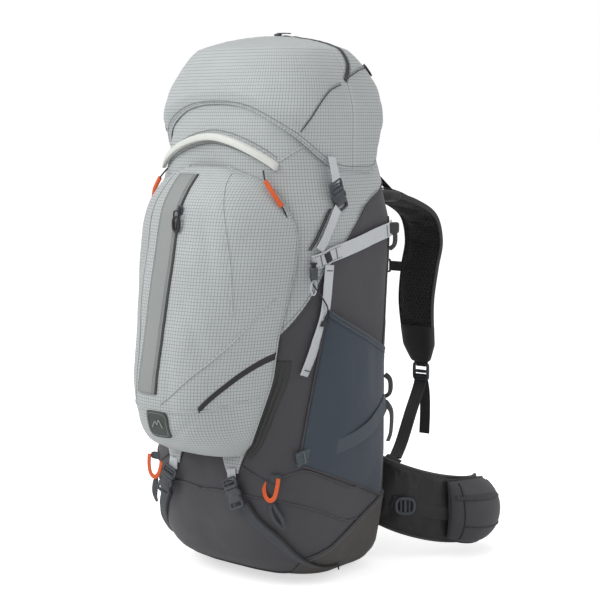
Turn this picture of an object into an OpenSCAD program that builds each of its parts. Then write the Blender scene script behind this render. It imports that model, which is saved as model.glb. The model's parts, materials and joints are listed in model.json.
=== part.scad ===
// Hiking backpack: top-loading trekking pack with a hinged lid, a front pocket, side pockets,
// shoulder straps and a hip belt. +Z is up, -Y is the front pocket side, +Y is the wearer's side,
// and the origin is the middle of the flat base.

/* [Overall] */
// Height from the ground to the top of the closed lid
pack_h = 745; // [690:5:820]
// Width of the main bag at its widest
pack_w = 310; // [280:2:350]
// Depth of the main bag between front face and back face
pack_d = 232; // [210:2:262]

/* [Fabric] */
// Wall of the main bag
bag_wall = 3; // [2:0.5:5]
// Thickness of the lid, pocket and patch fabric
cloth_t = 1.6; // [1:0.1:2.5]
// Gap between a sewn piece and the surface that it lies on
seam_gap = 0.9; // [0.8:0.1:2]

/* [Front pocket] */
// How far the front pocket stands out from the bag at its fullest
pocket_bulge = 90; // [60:2:100]
// Half width of the front pocket at its widest
pocket_half_w = 132; // [110:1:136]

/* [Webbing] */
// Width of the wide side webbing
wide_web = 20; // [15:1:25]
// Width of the narrow webbing
narrow_web = 15; // [10:1:20]
// Thickness of the webbing
web_t = 1.8; // [1.2:0.1:2.5]

/* [Harness] */
// Width of a shoulder strap
strap_w = 64; // [50:1:75]
// Thickness of a shoulder strap
strap_t = 14; // [10:1:18]
// Distance of each shoulder strap from the middle of the pack
strap_x = 76; // [66:1:90]
// Height of the hip belt wings
wing_h = 104; // [80:1:120]
// Thickness of the hip belt wings
wing_t = 16; // [10:1:20]

/* [Fittings] */
// Width of a side-release buckle
buckle_w = 24; // [20:1:28]
// Thickness of a side-release buckle
buckle_t = 8; // [7:0.5:10]
// Clearance round a buckle's prongs
buckle_gap = 1.5; // [1:0.1:2.5]
// Travel of a cord lock's plunger
plunger_travel = 4; // [2:0.5:5]

/* [Hidden] */

// Where the bag is widest, and how square its front and back halves are
belly_y = 20;
// Widths that follow the pack's width; 1 at the size as designed.
wide_k = pack_w / 310;
pocket_half = pocket_half_w * wide_k;
front_square = 2.8;
back_square = 6;

// Heights as shares of the pack's height
function level(share) = share * pack_h;

// Half width, front face and back face of the main bag against height
bag_half_w = [[0, 0.53], [0.013, 0.75], [0.04, 0.85], [0.08, 0.895], [0.134, 0.945], [0.23, 0.968],
    [0.4, 0.98], [0.6, 1], [0.67, 1], [0.73, 0.93], [0.8, 0.855], [0.9, 0.76]];
bag_front = [[0, 0.05], [0.013, 0.42], [0.04, 0.79], [0.08, 0.96], [0.134, 1.06], [0.23, 1.06],
    [0.3, 1.02], [0.4, 0.95], [0.67, 0.95], [0.73, 0.92], [0.8, 0.85], [0.9, 0.71]];
bag_back = [[0, 0.82], [0.013, 0.93], [0.04, 1], [0.134, 1.03], [0.4, 0.97], [0.67, 1.04],
    [0.73, 1], [0.8, 0.92], [0.9, 0.81]];
function half_w(z) = pack_w / 2 * lookup(z / pack_h, bag_half_w);
function front_d(z) = belly_y + pack_d / 2 * lookup(z / pack_h, bag_front);
function back_d(z) = pack_d / 2 * lookup(z / pack_h, bag_back) - belly_y;

// Half width, front and back of the closed lid against height
lid_half_w = [[0.7, 0.945], [0.8, 0.925], [0.862, 0.915], [0.91, 0.865], [0.958, 0.76], [0.985, 0.63],
    [1, 0.48]];
lid_front = [[0.7, 0.94], [0.8, 0.93], [0.862, 0.9], [0.91, 0.76], [0.958, 0.6], [0.985, 0.47],
    [1, 0.34]];
lid_back = [[0.7, 1.03], [0.8, 1.02], [0.862, 1.01], [0.91, 0.97], [0.958, 0.8], [0.985, 0.68],
    [1, 0.56]];
function lid_w(z) = pack_w / 2 * lookup(z / pack_h, lid_half_w);
function lid_f(z) = belly_y + pack_d / 2 * lookup(z / pack_h, lid_front);
function lid_b(z) = pack_d / 2 * lookup(z / pack_h, lid_back) - belly_y;

// A point of a ring round the bag: a rounded box whose front and back halves differ. turn is 0 at
// the front, 90 at +X and 180 at the back.
function signed_pow(v, n) = sign(v) * pow(abs(v), 2 / n);
function ring_point(w, f, b, turn, z, off) =
    let (n = cos(turn) > 0 ? front_square : back_square, d = (cos(turn) > 0 ? f : b) + off)
    [(w + off) * signed_pow(sin(turn), n), belly_y - d * signed_pow(cos(turn), n), z];
function bag_point(turn, z, off) = ring_point(half_w(z), front_d(z), back_d(z), turn, z, off);
function lid_point(turn, z, off) = ring_point(lid_w(z), lid_f(z), lid_b(z), turn, z, off);

// Depth of the front face at a place across it, and of the side face at a place along it
function rest_of(v, n) = pow(max(0, 1 - pow(min(1, abs(v)), n)), 1 / n);
function on_front(x, z, off) =
    [x, belly_y - (front_d(z) + off) * rest_of(x / (half_w(z) + off), front_square), z];
function on_back(x, z, off) =
    [x, belly_y + (back_d(z) + off) * rest_of(x / (half_w(z) + off), back_square), z];
function on_side(y, z, off) =
    let (fore = y < belly_y, d = (fore ? front_d(z) : back_d(z)) + off)
    [(half_w(z) + off) * rest_of((y - belly_y) / d, fore ? front_square : back_square), y, z];

// Height of the bag's rim and of the lid's lower edge round the bag
rim_share = [[0, 0.897], [15, 0.891], [25, 0.882], [35, 0.868], [50, 0.846], [70, 0.812], [90, 0.794],
    [180, 0.797]];
lid_edge_share = [[0, 0.88], [15, 0.872], [25, 0.861], [35, 0.847], [50, 0.825], [60, 0.808], [70, 0.784],
    [80, 0.764], [90, 0.754], [98, 0.756], [104, 0.777], [109, 0.8], [114, 0.8095], [180, 0.8095]];
function fold(turn) = turn > 180 ? 360 - turn : turn;
function rim_z(turn) = level(lookup(fold(turn), rim_share));
function lid_edge_z(turn) = level(lookup(fold(turn), lid_edge_share));

// Front pocket: half width and depth in front of the bag against height
pocket_low = 0.236;
pocket_top = 0.766;
pocket_width = [[0.236, 0.18], [0.244, 0.38], [0.26, 0.53], [0.298, 0.645], [0.341, 0.727], [0.383, 0.788],
    [0.474, 0.85], [0.5, 0.886], [0.589, 0.985], [0.644, 1], [0.668, 0.975], [0.7, 0.894], [0.728, 0.765],
    [0.748, 0.61], [0.76, 0.35], [0.766, 0.15]];
pocket_depth = [[0.236, 0.08], [0.26, 0.55], [0.3, 0.84], [0.35, 1], [0.4, 1], [0.7, 0.47], [0.735, 0.28],
    [0.755, 0.14], [0.766, 0.05]];
pocket_gap = 3.4;
function pocket_w(z) = pocket_half * lookup(z / pack_h, pocket_width);
function pocket_d(z) = pocket_bulge * lookup(z / pack_h, pocket_depth);
function on_pocket(x, z, off) =
    let (p = on_front(x, z, pocket_gap), s = min(1, abs(x) / pocket_w(z)))
    [x, p[1] - pocket_d(z) * pow(1 - pow(s, 2.4), 0.6) - off, z];

// A closed thin sheet: at(u, v, k) gives its two faces for k = 0 and k = 1, u and v from 0 to 1.
// at(u, v, 1) is on the side that u x v points to.
module sheet(nu, nv, at) {
    row = nv + 1;
    side = (nu + 1) * row;
    points = [for (k = [0, 1]) for (i = [0:nu]) for (j = [0:nv]) at(i / nu, j / nv, k)];
    faces = concat(
        [for (i = [0:nu - 1]) for (j = [0:nv - 1]) each
            let (a = i * row + j, b = a + row) [[a, b, a + 1], [b, b + 1, a + 1],
            [side + a, side + a + 1, side + b], [side + b, side + a + 1, side + b + 1]]],
        [for (i = [0:nu - 1]) each let (a = i * row, b = a + row)
            [[a, side + a, b], [b, side + a, side + b],
            [a + nv, b + nv, side + a + nv], [b + nv, side + b + nv, side + a + nv]]],
        [for (j = [0:nv - 1]) each let (a = j, b = nu * row + j)
            [[a, a + 1, side + a], [a + 1, side + a + 1, side + a],
            [b, side + b, b + 1], [b + 1, side + b, side + b + 1]]]);
    polyhedron(points, faces);
}

// A solid lofted through rings: at(i, j) gives point j of ring i. Its ends are capped, or its last
// ring joins its first when it is hollow like a pipe's wall.
module loft(rings, sides, at, pipe = false) {
    points = [for (i = [0:rings - 1]) for (j = [0:sides - 1]) at(i, j)];
    walls = [for (i = [0:rings - (pipe ? 1 : 2)]) for (j = [0:sides - 1]) each
        let (next = (j + 1) % sides, r = (i + 1) % rings * sides, a = i * sides + j, b = i * sides + next)
        [[a, r + j, b], [b, r + j, r + next]]];
    first = [for (j = [0:sides - 1]) j];
    last = [for (j = [sides - 1:-1:0]) (rings - 1) * sides + j];
    polyhedron(points, pipe ? walls : concat(walls, [first, last]));
}

// Smooth path through chosen points
function spline(p, s) =
    let (n = len(p) - 1, k = min(n - 1, floor(s * n)), t = s * n - k, a = p[max(0, k - 1)], b = p[k],
        c = p[k + 1], d = p[min(n, k + 2)])
    0.5 * (2 * b + (c - a) * t + (2 * a - 5 * b + 4 * c - d) * t * t
        + (3 * b - a - 3 * c + d) * t * t * t);
function unit(v) = v / norm(v);
function along(p, s) = unit(spline(p, min(1, s + 0.01)) - spline(p, max(0, s - 0.01)));

// Webbing along a path: across is the direction of its width
module ribbon(path, across, width, thick, steps) {
    loft(steps + 1, 4, function(i, j) let (s = i / steps, n = unit(cross(along(path, s), across)),
        w = unit(cross(n, along(path, s))), a = j == 0 || j == 3 ? -0.5 : 0.5, b = j < 2 ? -0.5 : 0.5)
        spline(path, s) + w * a * width + n * b * thick);
}

// Round bar or cord along a path
module tube(path, d, steps, sides) {
    loft(steps + 1, sides, function(i, j) let (s = i / steps, n = unit(cross(along(path, s), [0.3, 0.2, 1])),
        w = cross(along(path, s), n), a = -360 * j / sides)
        spline(path, s) + (n * cos(a) + w * sin(a)) * d / 2);
}

// Both halves of a piece that the pack has on each side
module both() {
    children();
    mirror([1, 0, 0]) children();
}

light = [0.74, 0.77, 0.76];
charcoal = [0.3, 0.3, 0.32];
slate = [0.28, 0.32, 0.36];
pale = [0.87, 0.88, 0.89];
orange = [0.95, 0.41, 0.17];
plastic = [0.35, 0.37, 0.35];
black = [0.16, 0.15, 0.15];

// ---- Main bag ----
ring_sides = 56;
bag_rings = 15;
base_lip = 2.4;
function bag_z(i, turn) =
    let (z0 = base_lip + 0.4, s = i / (bag_rings - 1)) z0 + (rim_z(turn) - z0) * pow(s, 1.5);

module main_bag() {
    color(light) loft(2 * bag_rings, ring_sides, function(i, j)
        let (turn = 360 * j / ring_sides, inner = i >= bag_rings, k = inner ? 2 * bag_rings - 1 - i : i,
            lift = inner && k == 0 ? bag_wall : 0)
        bag_point(turn, bag_z(k, turn) + lift, inner ? -bag_wall : 0));
}

base_h = level(0.07);
base_rings = 7;
module base_panel() {
    color([0.33, 0.31, 0.3]) loft(2 * base_rings, ring_sides, function(i, j)
        let (turn = 360 * j / ring_sides, inner = i >= base_rings, k = inner ? 2 * base_rings - 1 - i : i,
            z = base_h * pow(k / (base_rings - 1), 1.6))
        bag_point(turn, inner && k == 0 ? base_lip - 0.6 : z, seam_gap + (inner ? 0 : cloth_t)));
}

collar_gap = 8;
module collar() {
    rings = 3;
    color(slate) loft(2 * rings, 40, function(i, j)
        let (turn = 360 * j / 40, inner = i >= rings, k = inner ? 2 * rings - 1 - i : i,
            top = rim_z(turn) - 8, z = level(0.76) + (top - level(0.76)) * k / (rings - 1))
        bag_point(turn, z, -collar_gap - (inner ? cloth_t : 0)), true);
}

// ---- Back and frame ----
pad_low = level(0.235);
pad_high = level(0.672);
pad_half_w = 108 * wide_k;
pad_t = 12;
function back_sheet(x0, z0, z1, t0, t1) = function(u, v, k)
    let (x = -x0 + 2 * x0 * v, z = z0 + (z1 - z0) * u, p = on_back(x, z, seam_gap))
    [x, p[1] + (k == 0 ? t0 : t1), z];
module back_panel() {
    color(black) sheet(12, 10, back_sheet(pad_half_w, pad_low, pad_high, pad_t, 0));
}
module lumbar_pad() {
    color(black) sheet(6, 10, back_sheet(88, level(0.075), level(0.225), 26, 0));
}

sheet_y = pack_d / 2 * 0.8;
module framesheet() {
    color([0.2, 0.2, 0.21]) translate([-95, sheet_y - 5, level(0.06)]) cube([190, 2.5, level(0.66)]);
}
module frame_stays() {
    color([0.75, 0.76, 0.78]) both() translate([52, sheet_y - 2.2, level(0.07)])
        cube([12, 3, level(0.63)]);
}
module hydration_sleeve() {
    color(slate) translate([-80, sheet_y - 30, level(0.3)]) difference() {
        cube([160, 24.6, level(0.34)]);
        translate([1.5, 1.5, 1.5]) cube([157, 21.6, level(0.34)]);
    }
}

// ---- Front pocket ----
module front_pocket() {
    color(light) sheet(18, 22, function(u, v, k) let (z = level(pocket_low + (pocket_top - pocket_low) * u),
        x = pocket_w(z) * (2 * v - 1), p = on_pocket(x, z, 0), q = on_front(x, z, pocket_gap))
        k == 0 ? p : [x * 0.985, min(p[1] + cloth_t * 1.5, q[1] - 0.02), z]);
}
function pocket_strip(x0, x1, z0, z1, off, t) = function(u, v, k)
    let (z = z0 + (z1 - z0) * u) on_pocket(x0 + (x1 - x0) * v, z, off + (k == 0 ? t : 0));

flap_w = 34;
module pocket_flap() {
    color(light) sheet(14, 4, pocket_strip(-flap_w - 4, -4, level(0.37), level(0.735), 2 * seam_gap, cloth_t));
}
zip_w = 7;
module pocket_zip() {
    color(black) sheet(14, 2, pocket_strip(-zip_w / 2 + 1, zip_w / 2 + 1, level(0.37), level(0.735), 2 * seam_gap,
        cloth_t));
}
// The pocket's middle is straight between these heights, so the slider runs straight
slider_z = level(0.69);
slider_low = level(0.45);
slider_a = on_pocket(1, slider_z, 2 * seam_gap + cloth_t + 0.8);
slider_b = on_pocket(1, slider_low, 2 * seam_gap + cloth_t + 0.8);
slider_lean = atan2(slider_a[1] - slider_b[1], slider_z - slider_low);
module at_slider() {
    translate(slider_a) rotate([-slider_lean, 0, 0]) children();
}
module pocket_zip_slider() {
    color(plastic) at_slider() difference() {
        union() {
            translate([-4, -2.6, -6]) cube([8, 2.4, 12]);
            translate([-2, -6.2, -3]) cube([4, 3.8, 6]);
        }
        translate([-3, -4.4, 0]) rotate([0, 90, 0]) cylinder(h = 6, d = 2.2, $fn = 24);
    }
}
module pocket_zip_pull() {
    color(black) at_slider() {
        translate([-6, -4.4, 0]) rotate([0, 90, 0]) cylinder(h = 12, d = 1.8, $fn = 24);
        both() translate([4.2, -5.3, -9]) cube([1.8, 1.8, 9.9]);
        translate([-6, -5.3, -12]) cube([12, 1.8, 3.2]);
        difference() {
            translate([-7, -5.6, -30]) cube([14, 2.4, 18]);
            translate([-3.5, -6, -26]) cube([7, 3.2, 10]);
        }
    }
}
module pocket_tape() {
    color(black) sheet(8, 2, function(u, v, k) let (z = level(0.34) + level(0.09) * u + 7 * v,
        x = 58 + 52 * u) on_pocket(x, z, seam_gap + (k == 0 ? cloth_t : 0)));
}
module pocket_gussets() {
    color(charcoal) both() sheet(10, 4, function(u, v, k) let (z = level(0.25) + level(0.17) * u,
        x = pocket_w(z) + 2 + (8 + 4 * u) * v) on_front(x, z, seam_gap + (k == 0 ? cloth_t : 0)));
}

// ---- Side pockets ----
side_bulge = 24;
module side_pocket_right() {
    color(slate) sheet(12, 12, function(u, v, k)
        let (low = level(0.235) - level(0.09) * v, top = level(0.515) - level(0.09) * v, z = low + (top - low) * u,
            front = -58 + 22 * u, y = front + (82 - front) * v,
            full = side_bulge * pow(sin(180 * v), 0.6) * pow(sin(90 * min(1, u * 2.5)), 0.8) * (0.55 + 0.45 * (1 - u)))
        on_side(y, z, seam_gap + full + (k == 0 ? 0 : cloth_t)));
}
module side_pocket_left() {
    mirror([1, 0, 0]) side_pocket_right();
}

// ---- Side webbing ----
strap_off = seam_gap;
function side_path(y0, z0, y1, z1, w, off) = function(u, v, k)
    let (y = y0 + (y1 - y0) * u, z = z0 + (z1 - z0) * u + w * (v - 0.5))
    on_side(y, z, off + (k == 0 ? 0 : web_t));
module upper_strap_right() {
    color(pale) sheet(12, 1, function(u, v, k) side_path(-66, level(0.6), 122 * pack_d / 232 - 12,
        level(0.655), -wide_web, strap_off + web_t + 0.8)(u, v, k));
}
module upper_strap_left() {
    mirror([1, 0, 0]) upper_strap_right();
}
module side_webbing_right() {
    color(pale) sheet(12, 1, function(u, v, k) let (z = level(0.395) + level(0.195) * u, y = -66 + 30 * u,
        p = on_side(y - wide_web * 0.35 + wide_web * 0.7 * v, z, strap_off + (k == 0 ? 0 : web_t))) p);
}
module side_webbing_left() {
    mirror([1, 0, 0]) side_webbing_right();
}
// The lower strap passes over the side pocket
module lower_strap_right() {
    color(slate) sheet(14, 1, function(u, v, k) let (y = -84 + 176 * u, z = level(0.235) + level(0.095) * u,
        full = side_bulge + cloth_t + 1.2)
        on_side(y, z - wide_web * (v - 0.5), seam_gap + full * pow(sin(max(2, 180 * u)), 0.35) + (k == 0 ? 0 : web_t)));
}
module lower_strap_left() {
    mirror([1, 0, 0]) lower_strap_right();
}

// ---- Cord locks on the side webbing ----
lock_z = level(0.58);
lock_y = -66;
lock_at = on_side(lock_y, lock_z, strap_off + web_t + 2);
lock_d = 12;
module at_lock() {
    translate([lock_at[0] + lock_d / 2 + 2, lock_y, lock_z]) children();
}
module cord_lock_right() {
    color(plastic) at_lock() difference() {
        cylinder(h = 16, d = lock_d, center = true, $fn = 40);
        translate([0, 0, -2]) cylinder(h = 12, d = 7.4, $fn = 40);
        rotate([90, 0, 0]) cylinder(h = 20, d = 3.4, center = true, $fn = 24);
    }
}
module cord_lock_left() {
    mirror([1, 0, 0]) cord_lock_right();
}
module cord_plunger_right() {
    color(black) at_lock() {
        translate([0, 0, 3]) cylinder(h = 9, d = 7, $fn = 40);
        translate([0, 0, 8.4 + plunger_travel]) cylinder(h = 2.6, d = 9, $fn = 40);
        translate([0, 0, 8]) cylinder(h = 1 + plunger_travel, d = 7, $fn = 40);
    }
}
module cord_plunger_left() {
    mirror([1, 0, 0]) cord_plunger_right();
}

// ---- Trims on the front ----
module arch_trim() {
    color(pale) sheet(24, 2, function(u, v, k) let (a = 180 * u, x = -103 * cos(a), z = level(0.765) + level(0.057) * sin(a)
        - 9 * (v - 0.5), q = x * (1 - 0.04 * v)) on_front(q, z, seam_gap + (k == 0 ? 6 : 0)));
}
badge_w = 32;
badge_z = level(0.27);
module badge() {
    color([0.25, 0.3, 0.28]) sheet(6, 6, pocket_strip(-badge_w / 2, badge_w / 2, badge_z, badge_z + badge_w,
        seam_gap, cloth_t));
}
loop_web = 8;
module upper_loops() {
    color(orange) both() ribbon([[92, -110, 563], [101, -114, 552], [110, -114, 540], [118, -109, 529],
        [124, -102, 519]] * (pack_h / 745), [1, 0.4, 0.3], loop_web, web_t, 10);
}
gear_x = 108 * wide_k;
gear_z = level(0.203);
gear_at = on_front(gear_x, gear_z, 6);
loop_r = 9;
loop_l = 15;
module gear_loop_right() {
    color(orange) translate(gear_at) {
        rotate([0, 90, 0]) cylinder(h = 2 * loop_r, d = 3.6, center = true, $fn = 32);
        both() translate([loop_r, 0, -loop_l]) cylinder(h = loop_l, d = 3.6, $fn = 32);
        both() translate([loop_r, 0, 0]) sphere(d = 3.6, $fn = 32);
        translate([0, 0, -loop_l]) rotate([-90, 0, 0]) rotate_extrude(angle = 180, $fn = 48)
            translate([loop_r, 0]) circle(d = 3.6, $fn = 32);
    }
}
module gear_loop_left() {
    mirror([1, 0, 0]) gear_loop_right();
}

// ---- Bottom straps and buckles ----
bottom_x = 60 * wide_k;
bottom_top = level(0.232);
bottom_buckle_z = level(0.19);
module bottom_straps() {
    color(charcoal) both() {
        sheet(12, 1, function(u, v, k) let (z = level(0.034) + (bottom_buckle_z - 27 - level(0.034)) * u)
            on_front(bottom_x + 44 * wide_k * (1 - u) - narrow_web / 2 + narrow_web * v, z, 4.4 + (k == 0 ? web_t : 0)));
        sheet(3, 1, function(u, v, k) let (z = bottom_buckle_z + 20 + (bottom_top - bottom_buckle_z - 20) * u)
            on_front(bottom_x - narrow_web / 2 + narrow_web * v, z, 3.5 + (k == 0 ? web_t : 0)));
    }
}
// A side-release buckle, closed: its length is along Z and it lies in the XZ plane
module buckle_pair() {
    buckle_female();
    buckle_male();
}
female_l = 24;
module buckle_female() {
    difference() {
        translate([-buckle_w / 2, -buckle_t / 2, -female_l]) cube([buckle_w, buckle_t, female_l]);
        translate([-buckle_w / 2 + 2, -buckle_t / 2 + 1.5, -15]) cube([buckle_w - 4, buckle_t - 3, 16]);
        translate([-buckle_w / 2 + 4, -buckle_t, -female_l + 3]) cube([buckle_w - 8, 2 * buckle_t, 3.2]);
    }
}
prong_l = 11;
module buckle_male() {
    prong = buckle_t - 3 - 2 * buckle_gap / 1.5;
    difference() {
        translate([-buckle_w / 2, -buckle_t / 2, 0.5]) cube([buckle_w, buckle_t, 14]);
        translate([-buckle_w / 2 + 4, -buckle_t, 8]) cube([buckle_w - 8, 2 * buckle_t, 3.2]);
    }
    both() translate([buckle_w / 2 - 2 - buckle_gap - 3, -prong / 2, -prong_l]) cube([3, prong, prong_l + 1]);
}
bottom_lean = atan2(on_front(bottom_x, bottom_buckle_z + 14, 0)[1] - on_front(bottom_x, bottom_buckle_z - 20, 0)[1], 34);
module bottom_buckles() {
    color(plastic) both() translate(on_front(bottom_x, bottom_buckle_z, 10)) rotate([-bottom_lean, 0, 0])
        rotate([0, 0, 14]) buckle_pair();
}

// ---- Lid ----
hinge_y = pack_d / 2 * 1.02;
hinge_z = level(0.8055);
lid_rings = 12;
lid_sides = 56;
function lid_z(i, turn) = lid_edge_z(turn) + (pack_h - cloth_t - lid_edge_z(turn)) * pow(i / (lid_rings - 1), 0.7);
module lid_shell() {
    color(light) loft(2 * lid_rings, lid_sides, function(i, j)
        let (turn = 360 * j / lid_sides, inner = i < lid_rings, k = inner ? lid_rings - 1 - i : i - lid_rings,
            z = lid_z(k, turn))
        lid_point(turn, inner ? z - (k == lid_rings - 1 ? cloth_t : 0) : z + (k == lid_rings - 1 ? cloth_t : 0),
            inner ? -cloth_t : 0));
}
floor_z = level(0.912);
module lid_floor() {
    color(slate) loft(2, 40, function(i, j) lid_point(360 * j / 40, floor_z + i * cloth_t, -cloth_t - 2.5));
}
lid_zip_y = 36;
lid_zip_half = 62;
module lid_zip() {
    color(black) translate([-lid_zip_half, lid_zip_y - zip_w / 2, pack_h + 0.3])
        cube([2 * lid_zip_half, zip_w, cloth_t]);
}
lid_slider_half = 5;
module lid_zip_slider() {
    color(plastic) translate([0, lid_zip_y, pack_h + 0.6 + cloth_t]) {
        translate([-lid_slider_half, -4, 0]) cube([2 * lid_slider_half, 8, 2.4]);
        translate([-lid_slider_half, -2, 2.4]) cube([26, 4, 1.6]);
    }
}

// ---- Lid straps and their buckles: the halves part along the arc that the lid carries them on ----
buckle_y = -24;
buckle_z = level(0.728);
buckle_x = half_w(buckle_z) + 9;
arc_lean = atan2(hinge_z - buckle_z, hinge_y - buckle_y);
module at_lid_buckle() {
    translate([buckle_x, buckle_y, buckle_z]) rotate([arc_lean, 0, 0]) rotate([0, 0, 90]) children();
}
module lid_female_buckles() {
    color(plastic) both() at_lid_buckle() buckle_female();
}
module lid_male_buckles() {
    color(plastic) both() at_lid_buckle() buckle_male();
}
module lid_straps() {
    color(pale) both() ribbon([[buckle_x, buckle_y, buckle_z + 18.6],
        [(buckle_x + lid_w(level(0.79)) + 2) / 2, buckle_y, buckle_z + 28],
        [lid_w(level(0.79)) + 2, buckle_y, level(0.79)],
        [lid_w(level(0.82)) + 2, buckle_y, level(0.82)]], [0, 1, 0], narrow_web, web_t, 8);
}
module lid_anchor_straps() {
    color(pale) both() sheet(10, 1, function(u, v, k) let (z = level(0.625) + (buckle_z - 27 - level(0.625)) * u,
        y = -54 + (buckle_y + 54) * u)
        on_side(y - narrow_web / 2 + narrow_web * v, z, strap_off + 2 * web_t + 2 + (k == 0 ? 0 : web_t)));
}
module lid_hinge_straps() {
    color(black) both() sheet(4, 1, function(u, v, k) let (z = level(0.748) + (hinge_z - 2 - level(0.748)) * u)
        [50 + 25 * v, on_back(60, z, seam_gap)[1] + (k == 0 ? web_t : 0), z]);
}
haul_z = level(0.755);
module haul_loop() {
    y = on_back(0, haul_z, 0)[1] + 2.5;
    color(black) tube([[-36, y, haul_z], [-37, y + 14, haul_z + 2], [-24, y + 32, haul_z + 6], [0, y + 36, haul_z + 7],
        [24, y + 32, haul_z + 6], [37, y + 14, haul_z + 2], [36, y, haul_z]], 8, 24, 10);
}

// ---- Shoulder straps ----
yoke_y = on_back(strap_x, level(0.7), 0)[1] + 14;
yoke_z = level(0.7);
// Route of a strap's middle line from the yoke, as steps back and up
strap_route = [[6, 6], [50, 12], [100, 2], [142, -20], [152, -62], [142, -110], [134, -160], [140, -215], [148, -254]];
function strap_point(i) = [strap_x, yoke_y + strap_route[i][0], yoke_z + strap_route[i][1]];
strap_path = [for (i = [0:len(strap_route) - 1]) strap_point(i)];
module shoulder_pad_right() {
    n = 20;
    color(black) loft(n + 1, 12, function(i, j) let (s = i / n, t = along(strap_path, s), across = [1, 0, 0],
        up = cross(t, across), w = strap_w * (0.72 + 0.28 * sin(180 * s)) / 2, h = strap_t / 2, a = -30 * j,
        ends = pow(min(1, min(s, 1 - s) * 8 + 0.35), 0.6))
        spline(strap_path, s) + across * w * ends * signed_pow(cos(a), 3) + up * h * signed_pow(sin(a), 3));
}
module shoulder_pad_left() {
    mirror([1, 0, 0]) shoulder_pad_right();
}
strap_end = strap_path[len(strap_path) - 1];
module strap_adjuster_right() {
    color(plastic) translate(strap_end - [0, 0, 15]) difference() {
        translate([-13, -3, -13]) cube([26, 6, 26]);
        translate([-9, -6, 3]) cube([18, 12, 5]);
        translate([-9, -6, -8]) cube([18, 12, 5]);
    }
}
module strap_adjuster_left() {
    mirror([1, 0, 0]) strap_adjuster_right();
}
tail_path = [strap_end - [0, 2, 31], strap_end + [10, -40, -70], strap_end + [20, -76, -108],
    strap_end + [30, -106, -128]];
module tail_webbing_right() {
    color(charcoal) ribbon(tail_path, [1, 0.25, 0], wide_web, web_t, 12);
}
module tail_webbing_left() {
    mirror([1, 0, 0]) tail_webbing_right();
}
sternum_s = 0.63;
sternum_at = spline(strap_path, sternum_s);
sternum_y = sternum_at[1] + strap_t / 2 + 4;
module sternum_strap() {
    color(black) difference() {
        translate([-strap_x - 12, sternum_y, sternum_at[2] - narrow_web / 2])
            cube([2 * strap_x + 24, web_t, narrow_web]);
        translate([-15, sternum_y - 1, sternum_at[2] - narrow_web]) cube([30, web_t + 2, 2 * narrow_web]);
    }
}
module sternum_buckle() {
    color(plastic) translate([-14.5, sternum_y - 2.5, sternum_at[2] - 11]) difference() {
        cube([29, 8, 22]);
        translate([4, -1, 5]) cube([5, 10, 12]);
        translate([20, -1, 5]) cube([5, 10, 12]);
    }
}

// ---- Hip belt ----
wing_low = 8;
belt_root_x = 98;
belt_root_y = on_back(88, level(0.12), 0)[1] + 16;
// Route of a wing's middle line from its root, as steps out and back
wing_route = [[2, 0], [34, 14], [66, 44], [84, 84], [86, 124], [68, 164]];
wing_path = [for (p = wing_route) [belt_root_x + p[0], belt_root_y + p[1], wing_low + wing_h / 2]];
function wing_rise(s) = 42 * pow(1 - s, 2);
module hip_wing_right() {
    n = 20;
    color(black) loft(n + 1, 12, function(i, j) let (s = i / n, t = along(wing_path, s), out = cross(t, [0, 0, 1]),
        h = (wing_h - 10 * s) / 2, w = wing_t / 2, a = 30 * j, ends = pow(min(1, (1 - s) * 8 + 0.35), 0.6))
        spline(wing_path, s) + [0, 0, wing_rise(s)] + [0, 0, h * ends * signed_pow(sin(a), 3.4)]
        + out * w * signed_pow(cos(a), 3));
}
module hip_wing_left() {
    mirror([1, 0, 0]) hip_wing_right();
}
pocket_stand = 34;
belt_lo = 0.52;
belt_hi = 0.97;
function belt_outer(s, v, stand) = let (t = along(wing_path, s), out = cross(t, [0, 0, 1]))
    spline(wing_path, s) + out * (wing_t / 2 + 0.8 + stand)
    + [0, 0, wing_rise(s) + (v - 0.5) * (wing_h - 12)];
module belt_pocket_right() {
    color(charcoal) sheet(14, 12, function(u, v, k) let (s = belt_lo + (belt_hi - belt_lo) * u,
        full = pow(sin(178 * u + 1), 0.5) * pow(sin(178 * v + 1), 0.55))
        belt_outer(s, v, pocket_stand * full + (k == 0 ? cloth_t : 0)));
}
module belt_pocket_left() {
    mirror([1, 0, 0]) belt_pocket_right();
}
wing_tip = wing_path[len(wing_path) - 1];
buckle_mid_y = wing_tip[1] + 34;
module belt_webbing_right() {
    z = wing_tip[2];
    color(charcoal) ribbon([wing_tip + [-2, 5, 0], [wing_tip[0] - 26, wing_tip[1] + 22, z],
        [wing_tip[0] - 62, buckle_mid_y, z], [44, buckle_mid_y, z]], [0, 0, 1], 25, web_t, 10);
}
module belt_webbing_left() {
    mirror([1, 0, 0]) belt_webbing_right();
}
module belt_buckle_female() {
    color(plastic) translate([6, buckle_mid_y, wing_tip[2]]) difference() {
        translate([0, -5, -22]) cube([36, 10, 44]);
        translate([-1, -3, -18]) cube([24, 6, 36]);
        translate([29, -8, -14]) cube([3.4, 16, 28]);
    }
}
module belt_buckle_male() {
    color(plastic) translate([-6, buckle_mid_y, wing_tip[2]]) difference() {
        union() {
            translate([-36, -5, -22]) cube([22, 10, 44]);
            for (z = [-15, -1.5, 12]) translate([-15, -1.8, z]) cube([19, 3.6, 3]);
        }
        translate([-32, -8, -14]) cube([3.4, 16, 28]);
    }
}

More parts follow.
